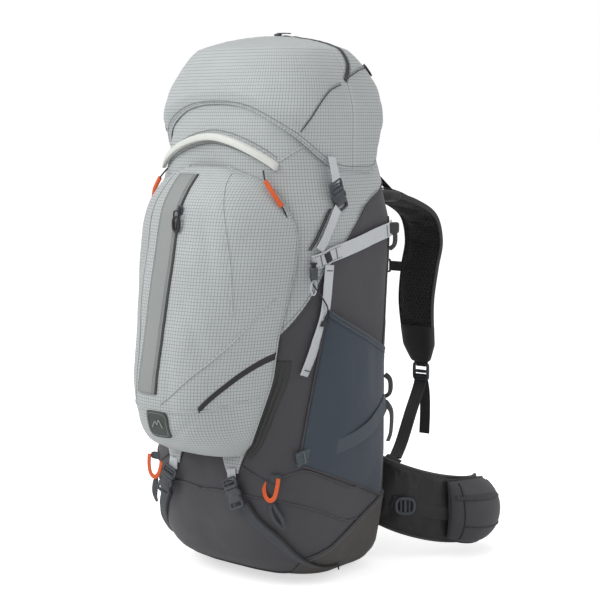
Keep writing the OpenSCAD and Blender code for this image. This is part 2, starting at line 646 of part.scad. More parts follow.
main_bag();
base_panel();
collar();
back_panel();
lumbar_pad();
framesheet();
frame_stays();
hydration_sleeve();
front_pocket();
pocket_flap();
pocket_zip();
pocket_zip_slider();
pocket_zip_pull();
pocket_tape();
pocket_gussets();
side_pocket_right();
side_pocket_left();
upper_strap_right();
upper_strap_left();
lower_strap_right();
lower_strap_left();
side_webbing_right();
side_webbing_left();
cord_lock_right();
cord_lock_left();
cord_plunger_right();
cord_plunger_left();
arch_trim();
badge();
upper_loops();
gear_loop_right();
gear_loop_left();
bottom_straps();
bottom_buckles();
haul_loop();
lid_hinge_straps();
lid_anchor_straps();
lid_female_buckles();
lid_shell();
lid_floor();
lid_zip();
lid_zip_slider();
lid_straps();
lid_male_buckles();
shoulder_pad_right();
shoulder_pad_left();
strap_adjuster_right();
strap_adjuster_left();
tail_webbing_right();
tail_webbing_left();
sternum_strap();
sternum_buckle();
hip_wing_right();
hip_wing_left();
belt_pocket_right();
belt_pocket_left();
belt_webbing_right();
belt_webbing_left();
belt_buckle_female();
belt_buckle_male();
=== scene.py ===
"""Hiking backpack: its fabrics, webbing, padding and fittings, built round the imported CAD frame."""

import json
import logging
from dataclasses import dataclass
from enum import Enum
from typing import Callable, Optional, Sequence

import bmesh
import bpy
import numpy as np
from mathutils import Matrix, Vector
from mathutils.bvhtree import BVHTree

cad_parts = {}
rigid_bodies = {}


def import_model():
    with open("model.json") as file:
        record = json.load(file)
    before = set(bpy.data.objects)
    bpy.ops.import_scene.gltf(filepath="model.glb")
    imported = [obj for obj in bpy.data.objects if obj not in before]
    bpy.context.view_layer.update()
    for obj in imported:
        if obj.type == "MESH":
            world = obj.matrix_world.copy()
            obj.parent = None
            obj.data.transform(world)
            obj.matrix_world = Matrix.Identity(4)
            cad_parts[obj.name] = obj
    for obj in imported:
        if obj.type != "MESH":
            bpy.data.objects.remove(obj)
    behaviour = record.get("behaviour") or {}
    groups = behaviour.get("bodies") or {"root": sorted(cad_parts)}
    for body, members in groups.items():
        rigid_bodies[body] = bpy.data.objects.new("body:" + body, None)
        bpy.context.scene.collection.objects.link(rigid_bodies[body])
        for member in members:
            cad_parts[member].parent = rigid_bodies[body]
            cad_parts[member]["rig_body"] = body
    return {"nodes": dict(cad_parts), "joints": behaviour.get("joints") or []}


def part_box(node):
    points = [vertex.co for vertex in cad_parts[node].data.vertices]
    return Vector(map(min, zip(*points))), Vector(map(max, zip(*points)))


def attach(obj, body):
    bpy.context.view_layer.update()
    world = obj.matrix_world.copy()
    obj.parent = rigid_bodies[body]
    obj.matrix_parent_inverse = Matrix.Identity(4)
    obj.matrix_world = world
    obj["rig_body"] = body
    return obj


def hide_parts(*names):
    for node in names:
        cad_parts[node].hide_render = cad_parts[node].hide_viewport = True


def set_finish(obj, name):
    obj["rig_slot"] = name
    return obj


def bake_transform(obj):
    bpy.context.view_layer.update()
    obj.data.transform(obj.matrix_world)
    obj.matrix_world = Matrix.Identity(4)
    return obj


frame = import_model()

Array = np.ndarray
LOG = logging.getLogger("backpack")
MM = 0.001
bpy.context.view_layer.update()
SIDES = (("right", 1), ("left", -1))


# ---- Shape of the pack, in millimetres ----
def smooth_lookup(table: Sequence[Sequence[float]], share: Array) -> Array:
    """Reads a table with rounded corners: the mean of seven straight-line readings near each share.

    Args:
        table: pairs of share of the pack's height and value.
        share: where to read it.

    Returns:
        The values.
    """
    xs, ys = np.array(table, float).T
    share = np.asarray(share, float)
    spread = np.clip(share * 0.3, 0.001, 0.013)
    return np.interp(share[..., None] + spread[..., None] * np.linspace(-1, 1, 7), xs, ys).mean(-1)


def signed_power(value: Array, square: Array) -> Array:
    """The value's size to the power 2 / square, with its sign kept."""
    return np.sign(value) * np.abs(value) ** (2 / square)


def noise(points: Array, scale: float, seed: int) -> Array:
    """Smooth noise from -1 to 1: random numbers on a cubic lattice, blended by 3f² - 2f³ each way.

    Args:
        points: places, in millimetres.
        scale: the lattice's spacing.
        seed: picks the random numbers.

    Returns:
        One value for each place.
    """
    table = np.random.default_rng(seed).random(4096)
    q = points / scale
    low = np.floor(q).astype(np.int64)
    f = q - low
    f = f * f * (3 - 2 * f)
    total = np.zeros(points.shape[:-1])
    for corner in range(8):
        bit = np.array([corner & 1, corner >> 1 & 1, corner >> 2 & 1])
        k = low + bit
        key = (k[..., 0] * 73856093) ^ (k[..., 1] * 19349663) ^ (k[..., 2] * 83492791)
        total += table[key & 4095] * np.prod(np.where(bit == 1, f, 1 - f), -1)
    return total * 2 - 1


@dataclass(frozen=True)
class PackShape:
    """The pack's outer shape, as in the CAD part: rounded rings whose size follows tables of the height."""

    height: float
    width: float
    depth: float = 232
    belly: float = 20
    front_square: float = 2.8
    back_square: float = 6
    pocket_half: float = 132
    pocket_bulge: float = 90
    bag_half_w: tuple = ((0, 0.53), (0.013, 0.75), (0.04, 0.85), (0.08, 0.895), (0.134, 0.945), (0.23, 0.968),
                    (0.4, 0.98), (0.6, 1), (0.67, 1), (0.73, 0.93), (0.8, 0.855), (0.9, 0.76))
    bag_front: tuple = ((0, 0.05), (0.013, 0.42), (0.04, 0.79), (0.08, 0.96), (0.134, 1.06), (0.23, 1.06),
                    (0.3, 1.02), (0.4, 0.95), (0.67, 0.95), (0.73, 0.92), (0.8, 0.85), (0.9, 0.71))
    bag_back: tuple = ((0, 0.82), (0.013, 0.93), (0.04, 1), (0.134, 1.03), (0.4, 0.97), (0.67, 1.04), (0.73, 1),
                    (0.8, 0.92), (0.9, 0.81))
    lid_half_w: tuple = ((0.7, 0.945), (0.8, 0.925), (0.862, 0.915), (0.91, 0.865), (0.958, 0.76), (0.985, 0.63),
                    (1, 0.48))
    lid_front: tuple = ((0.7, 0.94), (0.8, 0.93), (0.862, 0.9), (0.91, 0.76), (0.958, 0.6), (0.985, 0.47),
                    (1, 0.34))
    lid_back: tuple = ((0.7, 1.03), (0.8, 1.02), (0.862, 1.01), (0.91, 0.97), (0.958, 0.8), (0.985, 0.68),
                    (1, 0.56))
    rim_share: tuple = ((0, 0.897), (15, 0.891), (25, 0.882), (35, 0.868), (50, 0.846), (70, 0.812), (90, 0.794),
                    (180, 0.797))
    lid_edge_share: tuple = ((0, 0.88), (15, 0.872), (25, 0.861), (35, 0.847), (50, 0.825), (60, 0.808), (70, 0.784),
                    (80, 0.764), (90, 0.754), (98, 0.756), (104, 0.777), (109, 0.8), (114, 0.8095),
                    (180, 0.8095))
    pocket_width: tuple = ((.251, .5), (.2545, .565), (.262, .6), (.298, .66), (.341, .727), (.383, .788),
                           (.474, .85), (.5, .886),
                           (.589, .985), (.644, 1), (.668, .975), (.7, .894), (.728, .765), (.748, .61), (.76, .35),
                           (.766, .15))
    pocket_depth: tuple = ((.251, .1), (.2545, .3), (.265, .58), (.3, .86), (.35, 1), (.4, 1), (.7, .47), (.735, .28),
                           (.755, .14), (.766, .05))

    def half_w(self, z: Array) -> Array:
        """Half width of the bag at a height."""
        return self.width / 2 * smooth_lookup(self.bag_half_w, np.asarray(z) / self.height)

    def front_d(self, z: Array) -> Array:
        """Distance from the belly line to the front face."""
        return self.belly + self.depth / 2 * smooth_lookup(self.bag_front, np.asarray(z) / self.height)

    def back_d(self, z: Array) -> Array:
        """Distance from the belly line to the back face."""
        return self.depth / 2 * smooth_lookup(self.bag_back, np.asarray(z) / self.height) - self.belly

    def ring(self, turn: Array, z: Array, off: Array, w: Array, f: Array, b: Array) -> Array:
        """A rounded box ring: x = w·sin^(2/n), y = -d·cos^(2/n), with n and d of the front or back half."""
        turn, z, off, w, f, b = np.broadcast_arrays(*(np.asarray(v, float) for v in (turn, z, off, w, f, b)))
        c, s = np.cos(np.radians(turn)), np.sin(np.radians(turn))
        n = np.where(c > 0, self.front_square, self.back_square)
        d = np.where(c > 0, f, b) + off
        return np.stack([(w + off) * signed_power(s, n), self.belly - d * signed_power(c, n), z], -1)

    def bag(self, turn: Array, z: Array, off: Array = 0) -> Array:
        """Points of the bag's skin: turn 0 is the front, 90 the right side and 180 the back."""
        return self.ring(turn, z, off, self.half_w(z), self.front_d(z), self.back_d(z))

    def lid(self, turn: Array, z: Array, off: Array = 0) -> Array:
        """Points of the lid's skin."""
        share = np.asarray(z) / self.height
        return self.ring(turn, z, off, self.width / 2 * smooth_lookup(self.lid_half_w, share),
                         self.belly + self.depth / 2 * smooth_lookup(self.lid_front, share),
                         self.depth / 2 * smooth_lookup(self.lid_back, share) - self.belly)

    def level_at(self, turn: Array, table: tuple) -> Array:
        """Height of an edge that goes round the pack, the same on both sides."""
        fold = np.abs((np.asarray(turn, float) + 180) % 360 - 180)
        xs, ys = np.array(table, float).T
        near = np.abs(fold[..., None] + np.linspace(-5, 5, 7))
        return self.height * np.interp(near, xs, ys).mean(-1)

    def front(self, x: Array, z: Array, off: Array = 0) -> Array:
        """Points of the front face across the pack."""
        x, z, off = np.broadcast_arrays(*(np.asarray(v, float) for v in (x, z, off)))
        n = self.front_square
        share = np.clip(np.abs(x) / (self.half_w(z) + off), 0, 1)
        return np.stack([x, self.belly - (self.front_d(z) + off) * (1 - share ** n) ** (1 / n), z], -1)

    def back(self, x: Array, z: Array, off: Array = 0) -> Array:
        """Points of the back face across the pack."""
        x, z, off = np.broadcast_arrays(*(np.asarray(v, float) for v in (x, z, off)))
        n = self.back_square
        share = np.clip(np.abs(x) / (self.half_w(z) + off), 0, 1)
        return np.stack([x, self.belly + (self.back_d(z) + off) * (1 - share ** n) ** (1 / n), z], -1)

    def side(self, y: Array, z: Array, off: Array = 0, sign: int = 1) -> Array:
        """Points of the side face along the pack; sign is 1 for the right side."""
        y, z, off = np.broadcast_arrays(*(np.asarray(v, float) for v in (y, z, off)))
        fore = y < self.belly
        n = np.where(fore, self.front_square, self.back_square)
        d = np.where(fore, self.front_d(z), self.back_d(z)) + off
        share = np.clip(np.abs(y - self.belly) / d, 0, 1)
        return np.stack([sign * (self.half_w(z) + off) * (1 - share ** n) ** (1 / n), y, z], -1)

    def pocket_w(self, z: Array) -> Array:
        """Half width of the front pocket."""
        return self.pocket_half * smooth_lookup(self.pocket_width, np.asarray(z) / self.height)

    def pocket(self, x: Array, z: Array, off: Array = 0) -> Array:
        """Points of the front pocket: the front face, moved out by its depth times (1 - s^2.4)^0.6."""
        x, z, off = np.broadcast_arrays(*(np.asarray(v, float) for v in (x, z, off)))
        base = self.front(x, z, 3.4)
        depth = self.pocket_bulge * smooth_lookup(self.pocket_depth, z / self.height)
        s = np.clip(np.abs(x) / self.pocket_w(z), 0, 1)
        base[..., 1] -= depth * (1 - s ** 2.4) ** 0.6 + off
        return base

    def even_turns(self, count: int, low: float = -180, high: float = 180) -> Array:
        """Turns spaced evenly by length round the pack's middle ring."""
        fine = np.linspace(low, high, 2881)
        arc = lengths(self.bag(fine, np.full(2881, self.height * .5)))
        return np.interp(np.linspace(0, arc[-1], count), arc, fine)

    def arc_of(self, turn: Array) -> Array:
        """Length round the middle ring from the front to a turn."""
        fine = np.linspace(-180, 180, 2881)
        arc = lengths(self.bag(fine, np.full(2881, self.height * .5)))
        return np.interp(turn, fine, arc - arc[1440])

    def turn_at(self, y: Array, z: Array) -> Array:
        """The right side's turn at which the bag's ring passes a given y."""
        d = np.where(y < self.belly, self.front_d(z), self.back_d(z))
        n = np.where(y < self.belly, self.front_square, self.back_square)
        share = np.clip((self.belly - y) / d, -1, 1)
        return np.degrees(np.arccos(np.sign(share) * np.abs(share) ** (n / 2)))


def lengths(points: Array) -> Array:
    """Running length along a path, from 0."""
    return np.concatenate([[0], np.cumsum(np.linalg.norm(np.diff(points, axis=0), axis=1))])


def unit(vectors: Array) -> Array:
    """Vectors made one long."""
    return vectors / np.maximum(np.linalg.norm(vectors, axis=-1, keepdims=True), 1e-9)


def spline(knots: Sequence, count: int) -> Array:
    """A smooth path through knots, with its points evenly spaced: Catmull-Rom pieces, resampled by length.

    Args:
        knots: the points that it passes through.
        count: how many points it gets.

    Returns:
        The path's points.
    """
    p = np.array(knots, float)
    n = len(p) - 1
    s = np.linspace(0, n, 40 * n + 1)
    k = np.minimum(s.astype(int), n - 1)
    t = (s - k)[:, None]
    a, b, c, d = p[np.maximum(k - 1, 0)], p[k], p[k + 1], p[np.minimum(k + 2, n)]
    q = .5 * (2 * b + (c - a) * t + (2 * a - 5 * b + 4 * c - d) * t ** 2 + (3 * b - a - 3 * c + d) * t ** 3)
    arc = lengths(q)
    at = np.linspace(0, arc[-1], count)
    return np.stack([np.interp(at, arc, q[:, i]) for i in range(q.shape[1])], -1)


# ---- Meshes ----
class Patchwork:
    """Grids of points gathered into one mesh, with a UV map in metres."""

    def __init__(self) -> None:
        """Starts with nothing in it."""
        self.verts: list = []
        self.faces: list = []
        self.uvs: list = []
        self.count = 0

    def grid(self, points: Array, uv: Optional[Array] = None, away: Optional[Array] = None) -> "Patchwork":
        """Adds a grid surface. It is turned so that its faces look away from a point, or enclose a volume.

        Args:
            points: (rows, columns, 3) in millimetres.
            uv: (rows, columns, 2) in millimetres, or None for lengths along the grid.
            away: a point that the faces look away from, or None for a closed shape.

        Returns:
            This patchwork.
        """
        rows, cols = points.shape[:2]
        if uv is None:
            mid_r, mid_c = points[rows // 2], points[:, cols // 2]
            u, v = np.meshgrid(lengths(mid_r), lengths(mid_c))
            uv = np.stack([u, v], -1)
        i, j = np.meshgrid(np.arange(rows - 1), np.arange(cols - 1), indexing="ij")
        a = (i * cols + j).ravel()
        quads = np.stack([a, a + 1, a + cols + 1, a + cols], -1)
        flat = points.reshape(-1, 3)
        q = flat[quads]
        normal = np.cross(q[:, 2] - q[:, 0], q[:, 3] - q[:, 1])
        centre = q.mean(1)
        origin = np.zeros(3) if away is None else np.asarray(away, float)
        if np.sum(normal * (centre - origin)) < 0:
            quads = quads[:, ::-1]
        self.faces.append(quads + self.count)
        self.verts.append(flat)
        self.uvs.append(np.asarray(uv, float).reshape(-1, 2))
        self.count += len(flat)
        return self

    def turned(self, matrix: Matrix) -> "Patchwork":
        """Moves everything gathered so far by a matrix."""
        m = np.array(matrix)
        self.verts = [v @ m[:3, :3].T + m[:3, 3] for v in self.verts]
        return self

    def join(self, other: "Patchwork") -> "Patchwork":
        """Takes in another patchwork's grids."""
        self.faces += [f + self.count for f in other.faces]
        self.verts += other.verts
        self.uvs += other.uvs
        self.count += other.count
        return self

    def mirrored(self) -> "Patchwork":
        """A copy on the other side of the pack, with its faces still outwards."""
        twin = Patchwork()
        twin.verts = [v * [-1, 1, 1] for v in self.verts]
        twin.faces = [f[:, ::-1] for f in self.faces]
        twin.uvs = list(self.uvs)
        twin.count = self.count
        return twin

    def mesh(self, name: str) -> bpy.types.Mesh:
        """The finished mesh, in metres, with its seams and poles merged."""
        verts = np.concatenate(self.verts) * MM
        faces = np.concatenate(self.faces)
        uvs = np.concatenate(self.uvs) * MM
        mesh = bpy.data.meshes.new(name)
        mesh.vertices.add(len(verts))
        mesh.vertices.foreach_set("co", verts.astype(np.float32).ravel())
        mesh.loops.add(faces.size)
        mesh.loops.foreach_set("vertex_index", faces.astype(np.int32).ravel())
        mesh.polygons.add(len(faces))
        mesh.polygons.foreach_set("loop_start", np.arange(0, faces.size, 4, dtype=np.int32))
        mesh.uv_layers.new(name="UVMap").data.foreach_set("uv", uvs[faces.ravel()].astype(np.float32).ravel())
        mesh.update(calc_edges=True)
        bm = bmesh.new()
        bm.from_mesh(mesh)
        bmesh.ops.remove_doubles(bm, verts=bm.verts, dist=2e-6)
        bmesh.ops.dissolve_degenerate(bm, edges=bm.edges, dist=1e-7)
        bm.to_mesh(mesh)
        bm.free()
        mesh.shade_smooth()
        return mesh


def frames(path: Array, normals: Array) -> tuple[Array, Array]:
    """Directions across and out of a path: across is tangent × normal, and out is across × tangent.

    Args:
        path: the path's points.
        normals: roughly outwards at each point.

    Returns:
        The directions across, and out.
    """
    tangent = unit(np.gradient(path, axis=0))
    across = unit(np.cross(tangent, np.broadcast_to(normals, path.shape)))
    return across, np.cross(across, tangent)


def webbing(path: Array, normals: Array, width: float, thick: float, crown: float = 0) -> Patchwork:
    """A flat strap with rounded edges, closed at both ends, carried along a path.

    Args:
        path: its middle line.
        normals: its outward side at each point.
        width: across.
        thick: through.
        crown: how much its middle stands out.

    Returns:
        The strap as a patchwork, with v along it.
    """
    across, out = frames(path, normals)
    a = np.radians(np.linspace(0, 360, 25))
    px = width / 2 * signed_power(np.cos(a), 6.0)
    py = thick / 2 * signed_power(np.sin(a), 3.0) + crown * (1 - (px / (width / 2)) ** 2)
    ring = path[:, None] + across[:, None] * px[:, None] + out[:, None] * py[:, None]
    flat = path[:, None] + across[:, None] * px[:, None]
    points = np.concatenate([flat[:1], ring, flat[-1:]])
    along = np.concatenate([[0], lengths(path), [lengths(path)[-1]]])
    v, u = np.meshgrid(along, px, indexing="ij")
    return Patchwork().grid(points, np.stack([u, v], -1))


def tube(path: Array, radius: float, sides: int = 10, reference: Sequence = (.3, .2, 1),
         flat: float = 1) -> Patchwork:
    """A round cord or piping along a path, closed at its ends. flat below 1 presses it."""
    across, out = frames(path, np.array(reference, float))
    a = np.radians(np.linspace(0, 360, sides + 1))
    ring = path[:, None] + radius * (across[:, None] * np.cos(a)[:, None] + out[:, None] * flat * np.sin(a)[:, None])
    points = np.concatenate([np.repeat(path[:1, None], sides + 1, 1), ring, np.repeat(path[-1:, None], sides + 1, 1)])
    along = np.concatenate([[0], lengths(path), [lengths(path)[-1]]])
    v, u = np.meshgrid(along, np.linspace(0, 6.3 * radius, sides + 1), indexing="ij")
    return Patchwork().grid(points, np.stack([u, v], -1))


def pebble(centre: Sequence, half: Sequence, square: float = 5, rows: int = 13, cols: int = 25) -> Patchwork:
    """A rounded block: a ball whose sines and cosines are raised to the power 2 / square."""
    la, lo = np.meshgrid(np.radians(np.linspace(-90, 90, rows)), np.radians(np.linspace(0, 360, cols)), indexing="ij")
    points = np.stack([half[0] * signed_power(np.cos(la), square) * signed_power(np.cos(lo), square),
                       half[1] * signed_power(np.cos(la), square) * signed_power(np.sin(lo), square),
                       half[2] * signed_power(np.sin(la), square)], -1)
    patch = Patchwork().grid(points)
    patch.verts = [v + np.array(centre, float) for v in patch.verts]
    return patch


def frame_bar(corners: Sequence, square: float, radius: float) -> Patchwork:
    """A closed bar round a rounded rectangle in the XZ plane; corners are x0, x1, z0, z1."""
    x0, x1, z0, z1 = corners
    a = np.radians(np.linspace(0, 360, 49))
    path = np.stack([(x0 + x1) / 2 + (x1 - x0) / 2 * signed_power(np.cos(a), square), 0 * a,
                     (z0 + z1) / 2 + (z1 - z0) / 2 * signed_power(np.sin(a), square)], -1)
    tangent = unit(np.roll(path[:-1], -1, 0) - np.roll(path[:-1], 1, 0))
    tangent = np.concatenate([tangent, tangent[:1]])
    out = np.array([0.0, -1, 0])
    across = np.cross(tangent, out)
    b = np.radians(np.linspace(0, 360, 13))
    c, s = signed_power(np.cos(b), 3.0), signed_power(np.sin(b), 3.0)
    points = path[:, None] + radius * (across[:, None] * c[:, None] + out * s[:, None] * 1.1)
    return Patchwork().grid(points)


def stitches(path: Array, normals: Array, pitch: float = 3.2, thread: float = .45) -> Patchwork:
    """Sewn thread along a path: short humps that rise from the cloth and go back in.

    Args:
        path: the seam's line.
        normals: outwards at each point.
        pitch: from stitch to stitch.
        thread: the thread's half thickness.

    Returns:
        All the stitches as one low grid each.
    """
    arc = lengths(path)
    count = max(2, int(arc[-1] / pitch))
    starts = np.linspace(0, arc[-1] - pitch, count)
    across, out = frames(path, normals)
    step = np.linspace(0, pitch * .74, 4)
    at = (starts[:, None] + step).ravel()
    read = lambda grid: np.stack([np.interp(at, arc, grid[:, k]) for k in range(3)], -1).reshape(count, 4, 3)
    mid, side, up = read(path), read(across), read(out)
    hump = np.array([-.6, .8, .8, -.6])[None, :, None] * thread
    corner = np.array([[-1, 0], [0, 1], [1, 0]]) * thread
    pts = (mid + up * hump)[:, :, None] + side[:, :, None] * corner[:, :1] + up[:, :, None] * corner[:, 1:]
    index = np.arange(count * 12).reshape(count, 4, 3)
    quads = np.stack([index[:, :-1, :-1], index[:, :-1, 1:], index[:, 1:, 1:], index[:, 1:, :-1]], -1).reshape(-1, 4)
    flat = pts.reshape(-1, 3)
    q = flat[quads]
    normal = np.cross(q[:, 2] - q[:, 0], q[:, 3] - q[:, 1])
    if np.sum(normal * np.repeat(up[:, :-1], 2, 1).reshape(-1, 3)) < 0:
        quads = quads[:, ::-1]
    patch = Patchwork()
    patch.verts, patch.faces, patch.uvs, patch.count = [flat], [quads], [flat[:, :2] * 0], len(flat)
    return patch


def buckle(width: float, thick: float) -> tuple[Patchwork, Patchwork]:
    """A side-release buckle lying in the XZ plane with its parting at z = 0: a waisted socket, and a
    plug with two sprung ears, a shoulder and a two-slot web frame.

    Args:
        width: across the webbing.
        thick: through.

    Returns:
        The socket and the plug.
    """
    w, t = width / 2, thick / 2
    z = np.array([-19, -18.6, -17, -14, -11.5, -9, -6, -3.5, -1.5, -.3, 0])
    wide = w * np.array([.2, .86, .95, .97, .86, .7, .7, .8, .95, .96, .3])
    deep = t * np.array([.1, .6, .8, 1, 1, 1, 1, 1, .92, .86, .2])
    a = np.radians(np.linspace(0, 360, 41))
    ring = np.stack([wide[:, None] * signed_power(np.cos(a), 4.0), deep[:, None] * signed_power(np.sin(a), 4.0),
                     np.repeat(z[:, None], 41, 1)], -1)
    tip = lambda row: np.repeat(row.mean(0)[None, None], 41, 1)
    socket = Patchwork().grid(np.concatenate([tip(ring[0]), ring, tip(ring[-1])]))
    socket.join(frame_bar((-w * .9, w * .9, -25.5, -17.2), 5, t * .42)).join(pebble((0, -t * .9, -8),
                                                                                    (w * .36, t * .25, 5), 4))
    plug = pebble((0, 0, 3), (w * .97, t * .9, 2.6), 5)
    for side in (-1, 1):
        plug.join(pebble((side * w * .86, 0, -7), (w * .17, t * .82, 4.6), 4))
    plug.join(frame_bar((-w * .93, w * .93, 4.4, 14.6), 6, t * .42)).join(pebble((0, 0, 9.6), (w * .9, t * .36, 1.1),
                                                                                 5))
    return socket, plug


# ---- Finishes ----
def srgb(red: float, green: float, blue: float) -> tuple:
    """Linear colour of 0 to 255 screen values."""
    c = np.array([red, green, blue]) / 255
    return (*np.where(c <= .04045, c / 12.92, ((c + .055) / 1.055) ** 2.4), 1)


class Weave(Enum):
    """How a finish is made."""

    RIPSTOP = "ripstop"
    PLAIN = "plain"
    WEB = "web"
    SPACER = "spacer"
    STRETCH = "stretch"
    MOULDED = "moulded"
    ZIP = "zip"
    METAL = "metal"


class Tree:
    """A short way of wiring shader nodes."""

    def __init__(self, tree: bpy.types.NodeTree) -> None:
        """Takes the tree to build in."""
        self.tree = tree

    def node(self, kind: str, **values: object) -> bpy.types.Node:
        """Adds a node; names in values are its settings, or inputs where it has no such setting."""
        made = self.tree.nodes.new(kind)
        for name, value in values.items():
            if hasattr(made, name):
                setattr(made, name, value)
            else:
                self.feed(made.inputs[name.replace("_", " ")], value)
        return made

    def feed(self, socket: bpy.types.NodeSocket, value: object) -> None:
        """Links an output to a socket, or sets the socket's own value."""
        if isinstance(value, bpy.types.NodeSocket):
            self.tree.links.new(value, socket)
        else:
            socket.default_value = value

    def math(self, operation: str, *values: object) -> bpy.types.NodeSocket:
        """A Math node's result."""
        made = self.tree.nodes.new("ShaderNodeMath")
        made.operation = operation
        for socket, value in zip(made.inputs, values):
            self.feed(socket, value)
        return made.outputs[0]


class Effects:
    """The node groups that the finishes share, each built once."""

    def __init__(self) -> None:
        """Builds the groups."""
        self.grid = self.make("thread_grid", self.thread_grid, Pitch=.005, Line=.1)
        self.grain = self.make("cloth_grain", self.cloth_grain, Scale=900.0, Drift=9.0)
        self.ribs = self.make("web_ribs", self.web_ribs, Pitch=.0016)
        self.holes = self.make("spacer_holes", self.spacer_holes, Pitch=.0042)
        self.teeth = self.make("zip_teeth", self.zip_teeth, Pitch=.0022)

    @staticmethod
    def make(name: str, fill: Callable, **inputs: float) -> bpy.types.NodeTree:
        """Makes a group with a Vector input, the named number inputs, and Mask and Height outputs.

        Args:
            name: the group's name.
            fill: wires it; gets the tree and the group's inputs, and returns mask and height.
            **inputs: number inputs with their defaults.

        Returns:
            The group.
        """
        group = bpy.data.node_groups.new(name, "ShaderNodeTree")
        group.interface.new_socket("Vector", in_out="INPUT", socket_type="NodeSocketVector")
        for key, value in inputs.items():
            group.interface.new_socket(key, in_out="INPUT", socket_type="NodeSocketFloat").default_value = value
        for key in ("Mask", "Height"):
            group.interface.new_socket(key, in_out="OUTPUT", socket_type="NodeSocketFloat")
        tree = Tree(group)
        source, sink = tree.node("NodeGroupInput"), tree.node("NodeGroupOutput")
        mask, height = fill(tree, source.outputs)
        tree.feed(sink.inputs[0], mask)
        tree.feed(sink.inputs[1], height)
        return group

    @staticmethod
    def split(tree: Tree, vector: object, pitch: object) -> list:
        """The vector's x and y, counted in pitches."""
        parts = tree.node("ShaderNodeSeparateXYZ", Vector=vector).outputs
        return [tree.math("DIVIDE", parts[k], pitch) for k in (0, 1)]

    @staticmethod
    def thread_grid(tree: Tree, given: object) -> tuple:
        """Thicker threads both ways: near a whole number of pitches the mask rises to 1."""
        lines = []
        for part in Effects.split(tree, given["Vector"], given["Pitch"]):
            away = tree.math("ABSOLUTE", tree.math("SUBTRACT", tree.math("FRACT", part), .5))
            near = tree.math("SUBTRACT", .5, away)
            lines.append(tree.math("SUBTRACT", 1.0,
                                   tree.math("SMOOTH_MIN", tree.math("DIVIDE", near, given["Line"]), 1.0, .3)))
        mask = tree.math("MAXIMUM", tree.math("MAXIMUM", lines[0], lines[1]), 0.0)
        return mask, mask

    @staticmethod
    def cloth_grain(tree: Tree, given: object) -> tuple:
        """Mask is slow colour drift with a fine speckle; height is the thread texture."""
        slow = tree.node("ShaderNodeTexNoise", Vector=given["Vector"], Scale=given["Drift"], Detail=3.0).outputs[0]
        fast = tree.node("ShaderNodeTexNoise", Vector=given["Vector"], Scale=given["Scale"], Detail=2.0).outputs[0]
        return tree.math("MULTIPLY_ADD", fast, .5, tree.math("MULTIPLY", slow, .5)), fast

    @staticmethod
    def web_ribs(tree: Tree, given: object) -> tuple:
        """Diagonal ribs that turn back every few pitches, as a twill webbing's do."""
        u, v = Effects.split(tree, given["Vector"], given["Pitch"])
        zigzag = tree.math("PINGPONG", u, 2.0)
        wave = tree.math("SINE", tree.math("MULTIPLY", tree.math("ADD", v, zigzag), 6.2832))
        height = tree.math("MULTIPLY_ADD", wave, .5, .5)
        return height, height

    @staticmethod
    def spacer_holes(tree: Tree, given: object) -> tuple:
        """Round holes in staggered rows: the mask is 1 on the threads and 0 in a hole."""
        u, v = Effects.split(tree, given["Vector"], given["Pitch"])
        v = tree.math("MULTIPLY", v, 1.1547)
        row = tree.math("FLOOR", v)
        shift = tree.math("MULTIPLY", tree.math("MODULO", row, 2.0), .5)
        du = tree.math("SUBTRACT", tree.math("FRACT", tree.math("ADD", u, shift)), .5)
        dv = tree.math("SUBTRACT", tree.math("FRACT", v), .5)
        reach = tree.math("SQRT", tree.math("ADD", tree.math("MULTIPLY", du, du), tree.math("MULTIPLY", dv, dv)))
        ramp = tree.node("ShaderNodeMapRange", Value=reach, interpolation_type="SMOOTHSTEP")
        for key, value in (("From Min", .22), ("From Max", .38)):
            ramp.inputs[key].default_value = value
        return ramp.outputs[0], ramp.outputs[0]

    @staticmethod
    def zip_teeth(tree: Tree, given: object) -> tuple:
        """Coil teeth along v in the middle of the tape."""
        _, v = Effects.split(tree, given["Vector"], given["Pitch"])
        wave = tree.math("MULTIPLY_ADD", tree.math("SINE", tree.math("MULTIPLY", v, 6.2832)), .5, .5)
        return wave, wave


